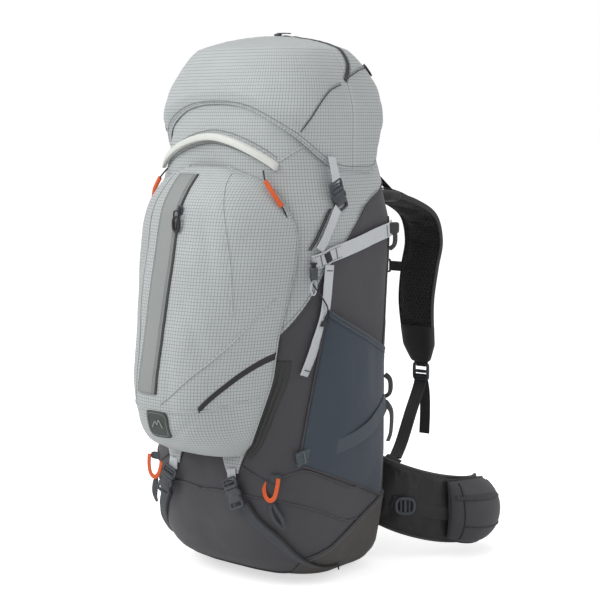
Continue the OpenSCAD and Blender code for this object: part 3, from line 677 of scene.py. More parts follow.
@dataclass(frozen=True)
class Finish:
    """One cloth, webbing, plastic or metal, with the record's slot that it stands for."""

    name: str
    colour: tuple
    weave: Weave
    slot: str
    roughness: float = .75
    sheen: float = 0
    bump: float = .3
    second: Optional[tuple] = None
    pitch: float = .005

    def material(self) -> bpy.types.Material:
        """Its material, made the first time that it is asked for."""
        found = bpy.data.materials.get(self.name)
        if found:
            return found
        made = bpy.data.materials.new(self.name)
        made.use_nodes = True
        tree = Tree(made.node_tree)
        shader = made.node_tree.nodes["Principled BSDF"]
        place = tree.node("ShaderNodeTexCoord").outputs["Object"]
        along = tree.node("ShaderNodeUVMap", uv_map="UVMap").outputs[0]
        grain = tree.node("ShaderNodeGroup", node_tree=EFFECTS.grain, Vector=place)
        tint = tree.node("ShaderNodeMapRange", Value=grain.outputs[0])
        for key, value in (("From Min", .3), ("From Max", .7), ("To Min", .88), ("To Max", 1.1)):
            tint.inputs[key].default_value = value
        colour, height, distance = self.colour, grain.outputs[1], .0003
        if self.weave in (Weave.RIPSTOP, Weave.WEB, Weave.SPACER, Weave.ZIP, Weave.STRETCH):
            group = {Weave.RIPSTOP: EFFECTS.grid, Weave.WEB: EFFECTS.ribs, Weave.SPACER: EFFECTS.holes,
                     Weave.ZIP: EFFECTS.teeth, Weave.STRETCH: EFFECTS.ribs}[self.weave]
            pattern = tree.node("ShaderNodeGroup", node_tree=group, Vector=along, Pitch=self.pitch)
            mix = tree.node("ShaderNodeMix", data_type="RGBA")
            tree.feed(mix.inputs[0], pattern.outputs[0])
            tree.feed(mix.inputs[6], self.colour)
            tree.feed(mix.inputs[7], self.second or self.colour)
            colour = mix.outputs[2]
            height = tree.math("ADD", tree.math("MULTIPLY", pattern.outputs[1], 1.6),
                               tree.math("MULTIPLY", height, .5))
            distance = {Weave.SPACER: .0012, Weave.ZIP: .0006, Weave.WEB: .0004}.get(self.weave, .00025)
        blend = tree.node("ShaderNodeMix", data_type="RGBA", blend_type="MULTIPLY")
        blend.inputs[0].default_value = 1.0
        tree.feed(blend.inputs[6], colour)
        tree.feed(blend.inputs[7], tint.outputs[0])
        tree.feed(shader.inputs["Base Color"], blend.outputs[2])
        rough = tree.node("ShaderNodeMapRange", Value=grain.outputs[0])
        for key, value in (("From Min", .3), ("From Max", .7), ("To Min", self.roughness - .06),
                           ("To Max", self.roughness + .06)):
            rough.inputs[key].default_value = value
        tree.feed(shader.inputs["Roughness"], rough.outputs[0])
        bump = tree.node("ShaderNodeBump", Height=height, Strength=self.bump, Distance=distance)
        tree.feed(shader.inputs["Normal"], bump.outputs[0])
        shader.inputs["Sheen Weight"].default_value = self.sheen
        shader.inputs["Sheen Roughness"].default_value = .5
        shader.inputs["Metallic"].default_value = 1.0 if self.weave is Weave.METAL else 0.0
        return made


EFFECTS = Effects()
# Partly painted shade: the zip flap is the pocket's pale cloth, darkened to the shaded tone of the flap's fold; the
# patch mark has this colour as its own.
PALE_SHADED_FLAP_AND_MARK = Finish("pale_shaded_flap_and_mark", srgb(150, 154, 152), Weave.PLAIN, "ripstop", .62, .12, .25)
RIPSTOP = Finish("pale_ripstop", srgb(191, 196, 196), Weave.RIPSTOP, "ripstop", .62, .12, .3, srgb(112, 118, 120),
                 .0044)
CHARCOAL = Finish("charcoal_cloth", srgb(68, 67, 71), Weave.PLAIN, "bag", .6, .12, .3)
BASE = Finish("base_cloth", srgb(72, 68, 66), Weave.PLAIN, "base", .6, .1, .35)
LINER = Finish("slate_liner", srgb(92, 100, 108), Weave.PLAIN, "liner", .7, .05, .3)
SLATE = Finish("slate_stretch", srgb(64, 73, 85), Weave.STRETCH, "stretch", .72, .15, .25, srgb(56, 65, 76), .0014)
SLATE_WEB = Finish("slate_web", srgb(84, 93, 102), Weave.WEB, "stretch", .7, .1, .5, srgb(66, 75, 84), .0016)
FOOT_WEB = Finish("foot_web_grey", srgb(74, 78, 84), Weave.WEB, "stretch", .7, .1, .5, srgb(60, 64, 69), .0016)
PALE_WEB = Finish("pale_web", srgb(226, 229, 232), Weave.WEB, "web_pale", .65, .1, .5, srgb(196, 200, 204), .0018)
DARK_WEB = Finish("dark_web", srgb(58, 58, 60), Weave.WEB, "web_dark", .7, .1, .5, srgb(38, 38, 40), .0016)
ORANGE_WEB = Finish("orange_web", srgb(245, 108, 42), Weave.WEB, "web_orange", .6, .1, .4, srgb(224, 88, 30), .0012)
SPACER = Finish("spacer_mesh", srgb(9, 9, 9), Weave.SPACER, "mesh", .85, .1, .8, srgb(38, 36, 36), .0052)
SMOOTH_BLACK = Finish("black_cloth", srgb(38, 37, 38), Weave.PLAIN, "mesh", .6, .15, .3)
OLIVE = Finish("dark_gusset", srgb(54, 56, 54), Weave.PLAIN, "bag", .65, .1, .3)
PATCH = Finish("dark_patch", srgb(66, 74, 70), Weave.PLAIN, "patch", .55, .05, .3)
MOULDED = Finish("moulded_grey", srgb(70, 75, 80), Weave.MOULDED, "plastic", .42, 0, .15)
ZIP = Finish("zip_tape", srgb(44, 45, 48), Weave.ZIP, "zip", .55, .05, .6, srgb(66, 67, 70), .0022)
CORD = Finish("dark_cord", srgb(46, 46, 48), Weave.WEB, "web_dark", .6, .1, .4, srgb(30, 30, 32), .0012)
PALE_CORD = Finish("pale_cord", srgb(214, 219, 222), Weave.WEB, "web_pale", .6, .1, .4, srgb(180, 186, 190), .0012)
TRIM = Finish("pale_trim", srgb(222, 225, 219), Weave.PLAIN, "web_pale", .45, .05, .25)
THREAD = Finish("grey_thread", srgb(112, 117, 119), Weave.PLAIN, "web_dark", .6, 0, .1)
METAL = Finish("stay_metal", srgb(190, 192, 196), Weave.METAL, "stay", .35, 0, .1)
BOARD = Finish("frame_board", srgb(52, 52, 54), Weave.MOULDED, "sheet", .5, 0, .2)


def piece(name: str, patch: Patchwork, finish: Finish, body: str, replaces: Sequence[str] = (),
          wall: float = 0, soft: int = 0) -> bpy.types.Object:
    """Makes an object of a patchwork, gives it its finish and puts it on its body.

    Args:
        name: the piece's name.
        patch: its surface.
        finish: what it is made of.
        body: the CAD body that it rides.
        replaces: the CAD nodes that it stands for.
        wall: a thickness inwards from the surface, in millimetres.
        soft: subdivision levels.

    Returns:
        The object.
    """
    made = bpy.data.objects.new(name, patch.mesh(name))
    bpy.context.scene.collection.objects.link(made)
    made.data.materials.append(finish.material())
    if wall:
        shell = made.modifiers.new("wall", "SOLIDIFY")
        shell.thickness, shell.offset = wall * MM, -1
    if soft:
        rounder = made.modifiers.new("rounding", "SUBSURF")
        rounder.levels = rounder.render_levels = soft
    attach(made, body)
    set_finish(made, finish.slot)
    if replaces:
        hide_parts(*replaces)
    return made


# ---- Studio ----
@dataclass(frozen=True)
class Studio:
    """Floor, light and camera. The camera stands off the pack's front right, a little above its middle."""

    turn: float = 40
    pitch: float = 6.62
    place: tuple = (1.434, -1.625, .632)
    lens: float = 93

    def camera(self) -> None:
        """Sets the scene's camera."""
        data = bpy.data.cameras.new("camera")
        data.lens, data.sensor_width = self.lens, 36
        made = bpy.data.objects.new("camera", data)
        made.location = self.place
        made.rotation_euler = (np.radians(90 - self.pitch), 0, np.radians(self.turn))
        bpy.context.scene.collection.objects.link(made)
        bpy.context.scene.camera = made

    def lamp(self, name: str, place: Sequence, size: float, power: float) -> None:
        """Adds a soft square lamp that looks at the pack's middle."""
        data = bpy.data.lights.new(name, "AREA")
        data.size, data.energy = size, power
        made = bpy.data.objects.new(name, data)
        made.location = place
        aim = Vector((0, 0, .35)) - Vector(place)
        made.rotation_euler = aim.to_track_quat("-Z", "Y").to_euler()
        bpy.context.scene.collection.objects.link(made)

    def build(self) -> None:
        """Makes the floor, the world and the lamps."""
        mesh = bpy.data.meshes.new("floor")
        mesh.from_pydata([(-30, -30, 0), (30, -30, 0), (30, 30, 0), (-30, 30, 0)], [], [(0, 1, 2, 3)])
        floor = bpy.data.objects.new("floor", mesh)
        bpy.context.scene.collection.objects.link(floor)
        paint = bpy.data.materials.new("floor_paint")
        paint.use_nodes = True
        shader = paint.node_tree.nodes["Principled BSDF"]
        paint_tree = Tree(paint.node_tree)
        seen = paint_tree.node("ShaderNodeLightPath").outputs["Is Camera Ray"]
        shader.inputs["Emission Color"].default_value = (1, 1, 1, 1)
        paint_tree.feed(shader.inputs["Emission Strength"], paint_tree.math("MULTIPLY", seen, .62))
        shader.inputs["Base Color"].default_value = (.93, .93, .935, 1)
        shader.inputs["Roughness"].default_value = .9
        shader.inputs["Specular IOR Level"].default_value = 0
        mesh.materials.append(paint)
        world = bpy.data.worlds.new("world")
        world.use_nodes = True
        sky = Tree(world.node_tree)
        backdrop = world.node_tree.nodes["Background"]
        backdrop.inputs[0].default_value = (1, 1, 1, 1)
        sky.feed(backdrop.inputs[1],
                 sky.math("MULTIPLY_ADD", sky.node("ShaderNodeLightPath").outputs["Is Camera Ray"], .5, .5))
        bpy.context.scene.world = world
        self.lamp("key", (-1.2, -2.2, 2.2), 1.6, 40)
        self.lamp("overhead", (0, -.3, 3.2), 2.5, 22)
        self.lamp("rim", (2.2, 1.2, 1.6), 1.2, 9)
        bpy.context.scene.view_settings.view_transform = "Standard"


@dataclass
class Maker:
    """What every sub-assembly shares: the pack's shape and a few ways of laying things on it."""

    shape: PackShape

    def slack(self, points: Array) -> Array:
        """How far the bag's cloth stands in or out at rest: broad dents and finer wrinkles, in millimetres."""
        stretch = points * np.array([1, 1, .55])
        return 1.5 * noise(stretch, 62, 3) + .8 * noise(points * [1, 1, .7], 24, 5) + .25 * noise(points, 9, 8)

    def on(self, place: Callable, off: float) -> tuple[Array, Array]:
        """Points of a surface with the cloth's slack, and their outward directions.

        Args:
            place: gives points at a distance from the surface.
            off: that distance.

        Returns:
            Points and directions.
        """
        base = place(0.0)
        out = unit(place(1.0) - base)
        return base + out * (off + self.slack(base))[..., None], out

    def strap_on(self, place: Callable, off: float, width: float, thick: float, knots: Array,
                 count: int = 60) -> tuple:
        """A strap that lies on a surface along knots of its two coordinates.

        Args:
            place: gives points for two coordinates and a distance.
            off: distance of the strap's underside from the surface.
            width: the strap's width.
            thick: its thickness.
            knots: pairs of the surface's coordinates.
            count: points along it.

        Returns:
            The strap's patchwork, its path and its normals.
        """
        route = spline(knots, count)
        path, out = self.on(lambda d: place(route[:, 0], route[:, 1], d), off + thick / 2)
        return webbing(path, out, width, thick), path, out

    def seam_on(self, place: Callable, off: float, radius: float, knots: Array, count: int = 80) -> Patchwork:
        """Piping half sunk in a surface along knots of its two coordinates."""
        route = spline(knots, count)
        path, out = self.on(lambda d: place(route[:, 0], route[:, 1], d), off)
        return tube(path, radius, 8, out)

    def turn_of(self, x: Array, z: Array) -> Array:
        """The turn at which the bag's ring passes a given x on its front half: asin of (x / w) to the power n / 2."""
        share = np.clip(np.abs(x) / self.shape.half_w(z), 0, 1)
        return np.sign(x) * np.degrees(np.arcsin(share ** (self.shape.front_square / 2)))

    @staticmethod
    def edge_stitches(path: Array, normals: Array, width: float, lift: float, pitch: float = 3.4) -> Patchwork:
        """Two rows of stitches along a strap's edges."""
        across, out = frames(path, normals)
        rows = Patchwork()
        for side in (-1, 1):
            rows.join(stitches(path + across * side * width + out * lift, out, pitch))
        return rows

    @staticmethod
    def bar_tack(place: Array, across: Array, normal: Array, width: float) -> Patchwork:
        """A dense sewn bar across a strap."""
        s = np.linspace(-width / 2, width / 2, 24)
        path = place + across * s[:, None]
        return tube(path + normal * .15, .85, 8, normal, .6)


# ---- The bag ----
@dataclass
class Bag(Maker):
    """Main shell, pale ripstop wrap, base cup, collar and liner."""

    wrap_low: float = 302
    wrap_lift: float = 1.3
    base_lift: float = 1.6
    base_stitch_turns: tuple = (62, 120)
    collar_low: float = 560
    # The wrap's rear edge: y against height on the right side
    wrap_edge: tuple = ((600, 101), (560, 101), (546, 95), (535, 78), (526, 58), (508, 32), (487, 9), (466, -10),
                        (446, -27), (436, -40),
                 (396, -61), (354, -86), (335, -96), (300, -104))
    base_edge: tuple = ((-140, 8), (-100, 10), (-80, 18), (-60, 39), (-15, 52), (32, 80), (75, 104), (125, 112))

    def shell(self) -> None:
        """Rings from the floor of the bag to its rim; the bottom is closed by rings that shrink to a point."""
        turns = self.shape.even_turns(240)
        rim = self.shape.level_at(turns, self.shape.rim_share)
        s = np.linspace(0, 1, 170)[:, None]
        z = 1.5 + (rim - 1.5) * s ** 1.15
        t = np.broadcast_to(turns, z.shape)
        points, _ = self.on(lambda d: self.shape.bag(t, z, d), 0)
        low = points[:1]
        centre = np.array([0, 30, 3.0])
        shrink = np.linspace(0, .92, 9)[:, None, None]
        points = np.concatenate([centre + (low - centre) * shrink, points])
        arc = self.shape.arc_of(t)
        uv = np.stack([np.concatenate([np.repeat(arc[:1], 9, 0), arc]), points[..., 2]], -1)
        piece("shell_cloth", Patchwork().grid(points, uv, (0, 20, 300)), CHARCOAL, "pack", ["main_bag"], 2.2)

    def wrap(self) -> None:
        """The ripstop wrap: turns from edge to edge at each height, with a turned-in hem at its edges."""
        s = np.linspace(-1, 1, 181)
        s = np.sign(s) * np.abs(s) ** .9
        u = np.linspace(0, 1, 130)[:, None]
        zs, ys = np.array(self.wrap_edge, float)[::-1].T
        rim_mid = self.shape.level_at(np.array(0.0), self.shape.rim_share)
        z = self.wrap_low + (rim_mid - self.wrap_low) * u + 0 * s
        for _ in range(12):
            edge = np.interp(z, zs, ys)
            turn = self.shape.turn_at(edge, z) * s
            rim = self.shape.level_at(turn, self.shape.rim_share)
            z = self.wrap_low + (rim - 2 - self.wrap_low) * u
        hem = self.wrap_lift - .9 * np.clip((np.abs(s) - .985) / .015, 0, 1) ** 2
        points, _ = self.on(lambda d: self.shape.bag(turn, z, d), 0)
        out = unit(self.shape.bag(turn, z, 1) - self.shape.bag(turn, z, 0))
        points = points + out * hem[None, :, None]
        piece("ripstop_wrap", Patchwork().grid(points, np.stack([self.shape.arc_of(turn), z], -1), (0, 20, 400)),
              RIPSTOP, "pack", wall=.9)

    def base(self) -> None:
        """The base cup: its upper edge rises towards the back; it closes under the bag."""
        turns = self.shape.even_turns(240)
        ys, zs = np.array(self.base_edge, float).T
        ring = self.shape.bag(turns, 60 + 0 * turns)
        top = np.interp(ring[:, 1], ys, zs)
        s = np.linspace(0, 1, 36)[:, None]
        z = top * s ** 1.5
        t = np.broadcast_to(turns, z.shape)
        points, _ = self.on(lambda d: self.shape.bag(t, z, d), self.base_lift)
        points[0, :, 2] = 0
        points[..., 2] = np.maximum(points[..., 2], 0)
        centre = np.array([0, 38, 0.0])
        shrink = np.linspace(0, .94, 9)[:, None, None]
        points = np.concatenate([centre + (points[:1] - centre) * shrink, points])
        piece("base_cup", Patchwork().grid(points, away=(0, 30, 120)), BASE, "pack", ["base_panel"], 1.2)
        path, out = self.on(lambda d: self.shape.bag(turns, top, d), self.base_lift)
        piece("base_piping", tube(path, 1.5, 8, out), CHARCOAL, "pack")
        keep = (turns > self.base_stitch_turns[0]) & (turns < self.base_stitch_turns[1])
        piece("base_stitching", stitches((path + [0, 0, -4] + out)[keep], out[keep]), THREAD, "pack")

    def collar(self) -> None:
        """The gathered collar inside the rim, with the cord that draws it shut."""
        turns = self.shape.even_turns(300)
        rim = self.shape.level_at(turns, self.shape.rim_share) - 4
        s = np.linspace(0, 1, 16)[:, None]
        z = self.collar_low + (rim - self.collar_low) * s
        t = np.broadcast_to(turns, z.shape)
        pleat = 2.4 * np.sin(np.radians(turns) * 46 + 2 * np.sin(np.radians(turns) * 7)) * s ** .5
        points = self.shape.bag(t, z, -8.5 + pleat)
        piece("gathered_collar", Patchwork().grid(points, away=(0, 20, 600)), LINER, "pack", ["collar"], 1.0)
        path = self.shape.bag(turns[:-1], rim[:-1] - 5, -5.6)
        made = piece("collar_cord", tube(path[:-2], 1.5, 8, (0, 0, 1)), CORD, "pack")

    def inside(self) -> None:
        """Finishes for the frame sheet, stays and bladder sleeve, which the CAD part already has in shape."""
        for node, finish in (("framesheet", BOARD), ("frame_stays", METAL), ("hydration_sleeve", LINER)):
            dress(node, finish)

    def seams(self) -> None:
        """Piped seams over the charcoal sides, and the two-layer seam of the back panel."""
        for name, sign in SIDES:
            side = lambda y, z, d: self.shape.side(y, z, d, sign)
            fore = lambda x, z: (sign * float(self.turn_of(x, z)), z)
            aft = lambda y, z: (sign * float(self.shape.turn_at(np.array(y), np.array(z))), z)
            patch = self.seam_on(self.shape.bag, .8, 1.3,
                                 [(0, 133), fore(40, 136), fore(90, 131), fore(124, 123), fore(141, 109),
                                                           aft(-20, 97), aft(32, 84)])
            patch.join(self.seam_on(self.shape.bag, .8, 1.3,
                                    [fore(60, 176), fore(84, 163), fore(104, 154), fore(124, 164),
                                                              fore(138, 166), aft(-10, 142), aft(78, 108)]))
            patch.join(self.seam_on(side, .7, 1.2,
                                    [(62, 124), (58, 180), (70, 250), (84, 330), (94, 420), (98, 500)]))
            zs, ys = np.array(self.wrap_edge, float)[1:-1].T
            patch.join(self.seam_on(side, 1.4, 1.1, np.stack([ys, zs], -1)[1:]))
            piece(f"side_piping_{name}", patch, CHARCOAL, "pack")
            route = spline(np.stack([ys - 4, zs + 2], -1)[2:-1], 90)
            path, out = self.on(lambda d: side(route[:, 0], route[:, 1], d), 2.1)
            piece(f"wrap_stitching_{name}", stitches(path, out), THREAD, "pack")

    def build(self) -> None:
        """Makes the whole bag."""
        for step in (self.shell, self.wrap, self.base, self.collar, self.inside, self.seams):
            step()
            LOG.info("bag: %s", step.__name__)


def dress(node: str, finish: Finish) -> None:
    """Gives a carried-over CAD node its finish."""
    made = frame["nodes"][node]
    made.data.materials.clear()
    made.data.materials.append(finish.material())
    if not made.material_slots:
        made.data.materials.append(finish.material())


# ---- The front ----
@dataclass
class Front(Maker):
    """Front pocket with its flap, zip, tape, patch and gussets, the arched trim and the loops."""

    # Shares of the pack's height
    pocket_low: float = .251
    pocket_top: float = .766
    flap_low: float = .3685
    flap_top: float = .753
    # Places across the pocket
    flap_x: tuple = (-38, -1)
    # The zip's dark tape reaches 2.6 mm past the flap's edge so that a thin strip of it shows: a painted shadow line
    # along the flap's edge.
    zip_x: tuple = (-3, 1.6)
    flap_stitch_x: tuple = (-34.5, -5)
    seam_knots: tuple = (((-112, 262), (-60, 256), (0, 253), (60, 256), (98, 268)),
                         ((8, 262), (40, 290), (84, 340), (118, 400)),
                         ((-44, 262), (-52, 340), (-60, 420), (-62, 500), (-52, 560)),
                         ((50, 562), (72, 500), (84, 440), (88, 380)))
    patch_half: float = 19
    patch_rise: float = 17
    trim_half: float = 103
    trim_level: float = 570
    trim_rise: float = 40
    trim_stitch_shift: float = 9
    gusset_low: float = 184
    gusset_run: float = 131
    # Across, height, and distance from the front
    corner_knots: tuple = ((88, 566, 5), (97, 553, 11.5), (109, 537, 13), (119, 520, 11), (123, 503, 6.5),
                           (125, 478, 5))
    hung_knots: tuple = ((109, 128, 4), (114, 119, 7), (121, 104, 8), (119, 92, 6), (112, 102, 6), (107, 118, 5),
                         (109, 128, 4))

    def dome(self) -> None:
        """The pocket's domed cloth: the pocket surface with creases from its corners and along its flap."""
        low, top = self.pocket_low * self.shape.height, self.pocket_top * self.shape.height
        u = np.linspace(0, 1, 150)[:, None]
        v = np.linspace(-1, 1, 151)[None]
        v = np.sign(v) * (1 - (1 - np.abs(v)) ** 1.25)
        z = low + (top - low) * u + 0 * v
        x = self.shape.pocket_w(z) * v
        points = self.sagged(x, z, 0)
        steps = np.linalg.norm(np.diff(points, axis=1), axis=-1)
        across = np.concatenate([np.zeros((150, 1)), np.cumsum(steps, 1)], 1)
        uv = np.stack([across - across[:, 75:76], lengths(points[:, 75])[:, None] + 0 * v], -1)
        piece("pocket_cloth", Patchwork().grid(points, uv, (0, 0, 400)), RIPSTOP, "pack", ["front_pocket"], 1.0)
        edge = np.concatenate([points[::-1, 0], points[:, -1]])
        inner = (edge[:, 2] > 200)
        piece("pocket_piping", tube(edge[inner] + [0, -1, 0], 1.3, 8, (0, -1, 0)), RIPSTOP, "pack")

    def sagged(self, x: Array, z: Array, off: float) -> Array:
        """Points of the pocket's cloth: its surface, dented softly where it hangs, in front of the bag."""
        x, z = np.broadcast_arrays(np.asarray(x, float), np.asarray(z, float))
        base = self.shape.pocket(x, z, 0)
        s = np.clip(np.abs(x) / self.shape.pocket_w(z), 0, 1)
        calm = (1 - s ** 6)
        wave = 2.6 * noise(base * [1, 1, .45], 70, 21) + 1.2 * noise(base * [1, .8, .6], 30,
                                                                     22) + .3 * noise(base, 10, 23)
        fold = sum(depth * np.exp(-((x - a - slope * (z - at)) / wide) ** 2) * np.exp(-((z - at) / tall) ** 2)
                   for a, at, slope, wide, tall, depth in
                   ((-48, 330, .1, 9, 70, 2.6), (18, 300, -.12, 8, 60, 2.4), (60, 330, -.5, 9, 60, 2.2),
                    (52, 470, -.25, 12, 70, 2.4), (-70, 450, .3, 11, 60, 2.4), (30, 225, 1.2, 8, 30, 2.2)))
        base[..., 1] -= off + (wave - fold + 4.5) * calm
        return base

    def strip(self, x0: float, x1: float, z0: float, z1: float, off: float, rows: int = 60, cols: int = 9,
              round_edge: float = .8) -> Patchwork:
        """A strip of cloth on the pocket between two lines, with its edges turned down."""
        u = np.linspace(0, 1, rows)[:, None]
        v = np.linspace(0, 1, cols)[None]
        z = z0 + (z1 - z0) * u + 0 * v
        x = x0 + (x1 - x0) * v + 0 * z
        points = self.sagged(x, z, off)
        points[..., 1] += round_edge * (np.abs(2 * v - 1) ** 6)
        return Patchwork().grid(points, np.stack([x, z], -1), (0, 0, 400))

    def closure(self) -> None:
        """Flap over the zip, the zip's tape and teeth, and the pocket's seams."""
        top, low = self.flap_top * self.shape.height, self.flap_low * self.shape.height
        flap = self.strip(*self.flap_x, low, top, 2.6, 80, 13, 1.6)
        # The flap's colour carries painted shade: it is darker than the pocket's ripstop.
        piece("zip_flap", flap, PALE_SHADED_FLAP_AND_MARK, "pack", ["pocket_flap"], 1.2)
        # Painted shadow: the strip of this tape that shows past the flap's edge stands for the flap's shadow line.
        zipper = self.strip(*self.zip_x, low, top, 1.4, 80, 7, .2)
        piece("pocket_zip_tape", zipper, ZIP, "pack", ["pocket_zip"], .8)
        zs = np.linspace(low, top, 90)
        lines = Patchwork()
        for x in self.flap_stitch_x:
            path = self.sagged(x + 0 * zs, zs, 3.4)
            lines.join(stitches(path, np.array([0, -1.0, 0]) + 0 * path))
        piece("flap_stitching", lines, THREAD, "pack")
        seams = Patchwork()
        for knots in self.seam_knots:
            route = spline(knots, 70)
            path = self.sagged(route[:, 0], route[:, 1], .5)
            seams.join(tube(path, .9, 8, (0, -1, 0)))
        piece("pocket_seams", seams, RIPSTOP, "pack")

    def tape_and_patch(self) -> None:
        """Dark reflective tape, and the generic patch with its raised rim."""
        u = np.linspace(0, 1, 40)[:, None]
        v = np.linspace(0, 1, 7)[None]
        z = 253 + 67 * u + 8 * v
        x = 58 + 52 * u + 0 * v
        points = self.sagged(x, z, 1.5 + .5 * np.sin(np.pi * v))
        piece("dark_tape", Patchwork().grid(points, away=(0, 0, 400)), SMOOTH_BLACK, "pack", ["pocket_tape"], .8)
        low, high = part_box("badge")
        cx, cz, w, h = 0.0, (low.z + high.z) / 2 / MM + self.patch_rise, self.patch_half, self.patch_half
        a, r = np.meshgrid(np.radians(np.linspace(0, 360, 65)), np.linspace(0, 1, 10), indexing="ij")
        x, z = cx + w * r * signed_power(np.cos(a), 5.0), cz + h * r * signed_power(np.sin(a), 5.0)
        points = self.sagged(x, z, 0)
        points[..., 1] -= 1.6 + .8 * (r > .8) * (1 - r ** 8)
        piece("plain_patch", Patchwork().grid(points, away=(0, 0, 300)), PATCH, "pack", ["badge"], 1.2)
        a = np.radians(np.linspace(0, 360, 90))
        x, z = cx + w * .86 * signed_power(np.cos(a), 5.0), cz + h * .82 * signed_power(np.sin(a), 5.0)
        path = self.sagged(x, z, 2.4)
        rim = stitches(path, np.array([0, -1.0, 0]) + 0 * path, 2.6)
        peak = np.stack([np.array([-9, -3, 0, 4, 9]), cz + np.array([-4, 4, 0, 6, -4])], -1)
        route = spline(peak, 40)
        rim.join(tube(self.sagged(route[:, 0] + cx, route[:, 1], 2.4), .9, 8, (0, -1, 0)))
        piece("patch_mark", rim, PALE_SHADED_FLAP_AND_MARK, "pack")

    def arch(self) -> None:
        """The pale arched trim: a tapered band that stands out as a shelf over the pocket."""
        x = np.linspace(-self.trim_half, self.trim_half, 121)
        middle = lambda q: self.trim_level + self.trim_rise * np.clip(1 - (np.abs(q) / (self.trim_half + .5)) ** 1.75,
                                                                      0, 1) ** .86
        b = np.radians(np.linspace(0, 360, 33))[None]
        z = middle(x)[:, None] + 4.9 * signed_power(np.sin(b), 4.5)
        stand = (3.2 + 2.4 * (1 - (np.abs(x) / self.trim_half) ** 4))[:, None]
        out = 2 + stand * (1 + signed_power(np.cos(b), 4.5))
        points = self.shape.front(x[:, None] + 0 * b, z, out)
        caps = [np.repeat(row.mean(0)[None, None], 33, 1) for row in (points[0], points[-1])]
        piece("arched_trim", Patchwork().grid(np.concatenate([caps[0], points, caps[1]])), TRIM, "pack",
              ["arch_trim"])
        lines = Patchwork()
        for shift in (-self.trim_stitch_shift, self.trim_stitch_shift):
            q = np.linspace(-100, 100, 90)
            path, out = self.on(lambda d: self.shape.front(q, middle(q) + shift, d), 1.8)
            lines.join(stitches(path, out))
        piece("trim_stitching", lines, THREAD, "pack")
        for name, sign in SIDES:
            knots = [(sign * float(self.turn_of(v, w)), w) for v, w in ((101, 578), (118, 596), (131, 622))]
            piece(f"corner_seam_{name}", self.seam_on(self.shape.bag, 1.5, 1.1, knots), RIPSTOP, "pack")

    def gussets(self) -> None:
        """Pleated dark cloth beside the pocket, from its edge to the side pocket."""
        for name, sign in SIDES:
            u = np.linspace(0, 1, 90)[:, None]
            v = np.linspace(0, 1, 24)[None]
            z = self.gusset_low + self.gusset_run * u + 0 * v
            inner = self.shape.pocket_w(z) - 3
            x = inner + (15 + 3 * u) * v
            x = np.minimum(x, self.shape.half_w(z) * .985)
            pleat = 2.4 * np.abs(np.sin(3 * np.pi * v)) * np.sin(np.pi * u) ** .5
            points, out = self.on(lambda d: self.shape.front(sign * x, z, d), 1.4)
            points = points + out * (pleat * (1 - np.abs(2 * v - 1) ** 4))[..., None]
            patch = Patchwork().grid(points, away=(0, 0, 250))
            piece(f"pleated_gusset_{name}", patch, OLIVE, "pack", ["pocket_gussets"], .9)

    def slider(self) -> None:
        """Zip slider, with a body, a bridge and a rounded puller of cord and moulded grip."""
        low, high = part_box("pocket_zip_slider")
        centre = np.array((low + high) / 2) / MM
        body = pebble(centre + [0, .9, 0], (4.2, 1.6, 6.4), 4).join(pebble(centre + [0, -1.4, 0], (1.5, 2.6, 4.6), 3))
        piece("zip_slider_body", body, MOULDED, "pocket_slider", ["pocket_zip_slider"])
        low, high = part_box("pocket_zip_pull")
        x, y, top, end = (low.x + high.x) / 2 / MM, low.y / MM + 2, high.z / MM, low.z / MM
        cord = np.array([(x - 2.4, y - 1, end + 16), (x - 4.6, y, top - 12), (x - 3.6, y, top - 4), (x, y, top - 2.4),
                         (x + 3.6, y, top - 4), (x + 4.6, y, top - 12), (x + 2.4, y - 1, end + 16)])
        grip = frame_bar((x - 5.6, x + 5.6, end + 1, end + 20), 2.6, 1.7)
        grip.verts = [v + [0, y, 0] for v in grip.verts]
        pull = tube(spline(cord, 60), 1.1, 8, (0, -1, 0))
        piece("zip_pull_cord", pull.join(grip), SMOOTH_BLACK, "pocket_pull", ["pocket_zip_pull"])

    def loops(self) -> None:
        """Orange sleeves on thin dark cords at the pocket's upper corners, and orange tool loops below."""
        for name, sign in SIDES:
            place = lambda v, w, d: self.shape.front(np.array(float(v)), np.array(float(w)), d) * [sign, 1, 1]
            cord = spline([place(*knot) for knot in self.corner_knots], 70)
            made = piece(f"corner_cord_{name}", tube(cord, 1.1, 8, (0, -1, .2)), CORD, "pack")
            sleeve = spline([place(*knot) for knot in self.corner_knots[1:4]], 40)
            piece(f"corner_sleeve_{name}", tube(sleeve, 3.4, 12, (0, -1, .2), .7), ORANGE_WEB, "pack",
                  ["upper_loops"])
            low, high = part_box(f"gear_loop_{name}")
            x, y = (low.x + high.x) / 2 / MM, (low.y + high.y) / 2 / MM
            top, end = high.z / MM, low.z / MM
            loop = np.array([(x - 11, y + 2, top + 2), (x - 10.5, y, top - 9), (x - 7, y - 1, end + 9),
                             (x, y - 1, end + 4.5),
                             (x + 8, y - 1, end + 9), (x + 12, y, top - 6), (x + 13, y + 2, top + 8)])
            loop[:, 0] = x + (loop[:, 0] - x) * sign
            path = spline(loop, 80)
            piece(f"tool_loop_{name}", webbing(path, np.array([0.0, -1, 0]), 6.4, 1.8), ORANGE_WEB, f"loop_{name}",
                  [f"gear_loop_{name}"])
            base = self.shape.front(np.array(x), np.array(top + 3), 2)
            tab = pebble(base + [0, 1.5, 3], (13, 3, 5), 5)
            hung = spline([place(*knot) for knot in self.hung_knots], 50)
            tab.join(webbing(hung, np.array([0.0, -1, 0]), 6, 1.8))
            piece(f"tool_tab_{name}", tab, FOOT_WEB, "pack")

    def build(self) -> None:
        """Makes the whole front."""
        for step in (self.dome, self.closure, self.tape_and_patch, self.arch, self.gussets, self.slider, self.loops):
            step()
            LOG.info("front: %s", step.__name__)


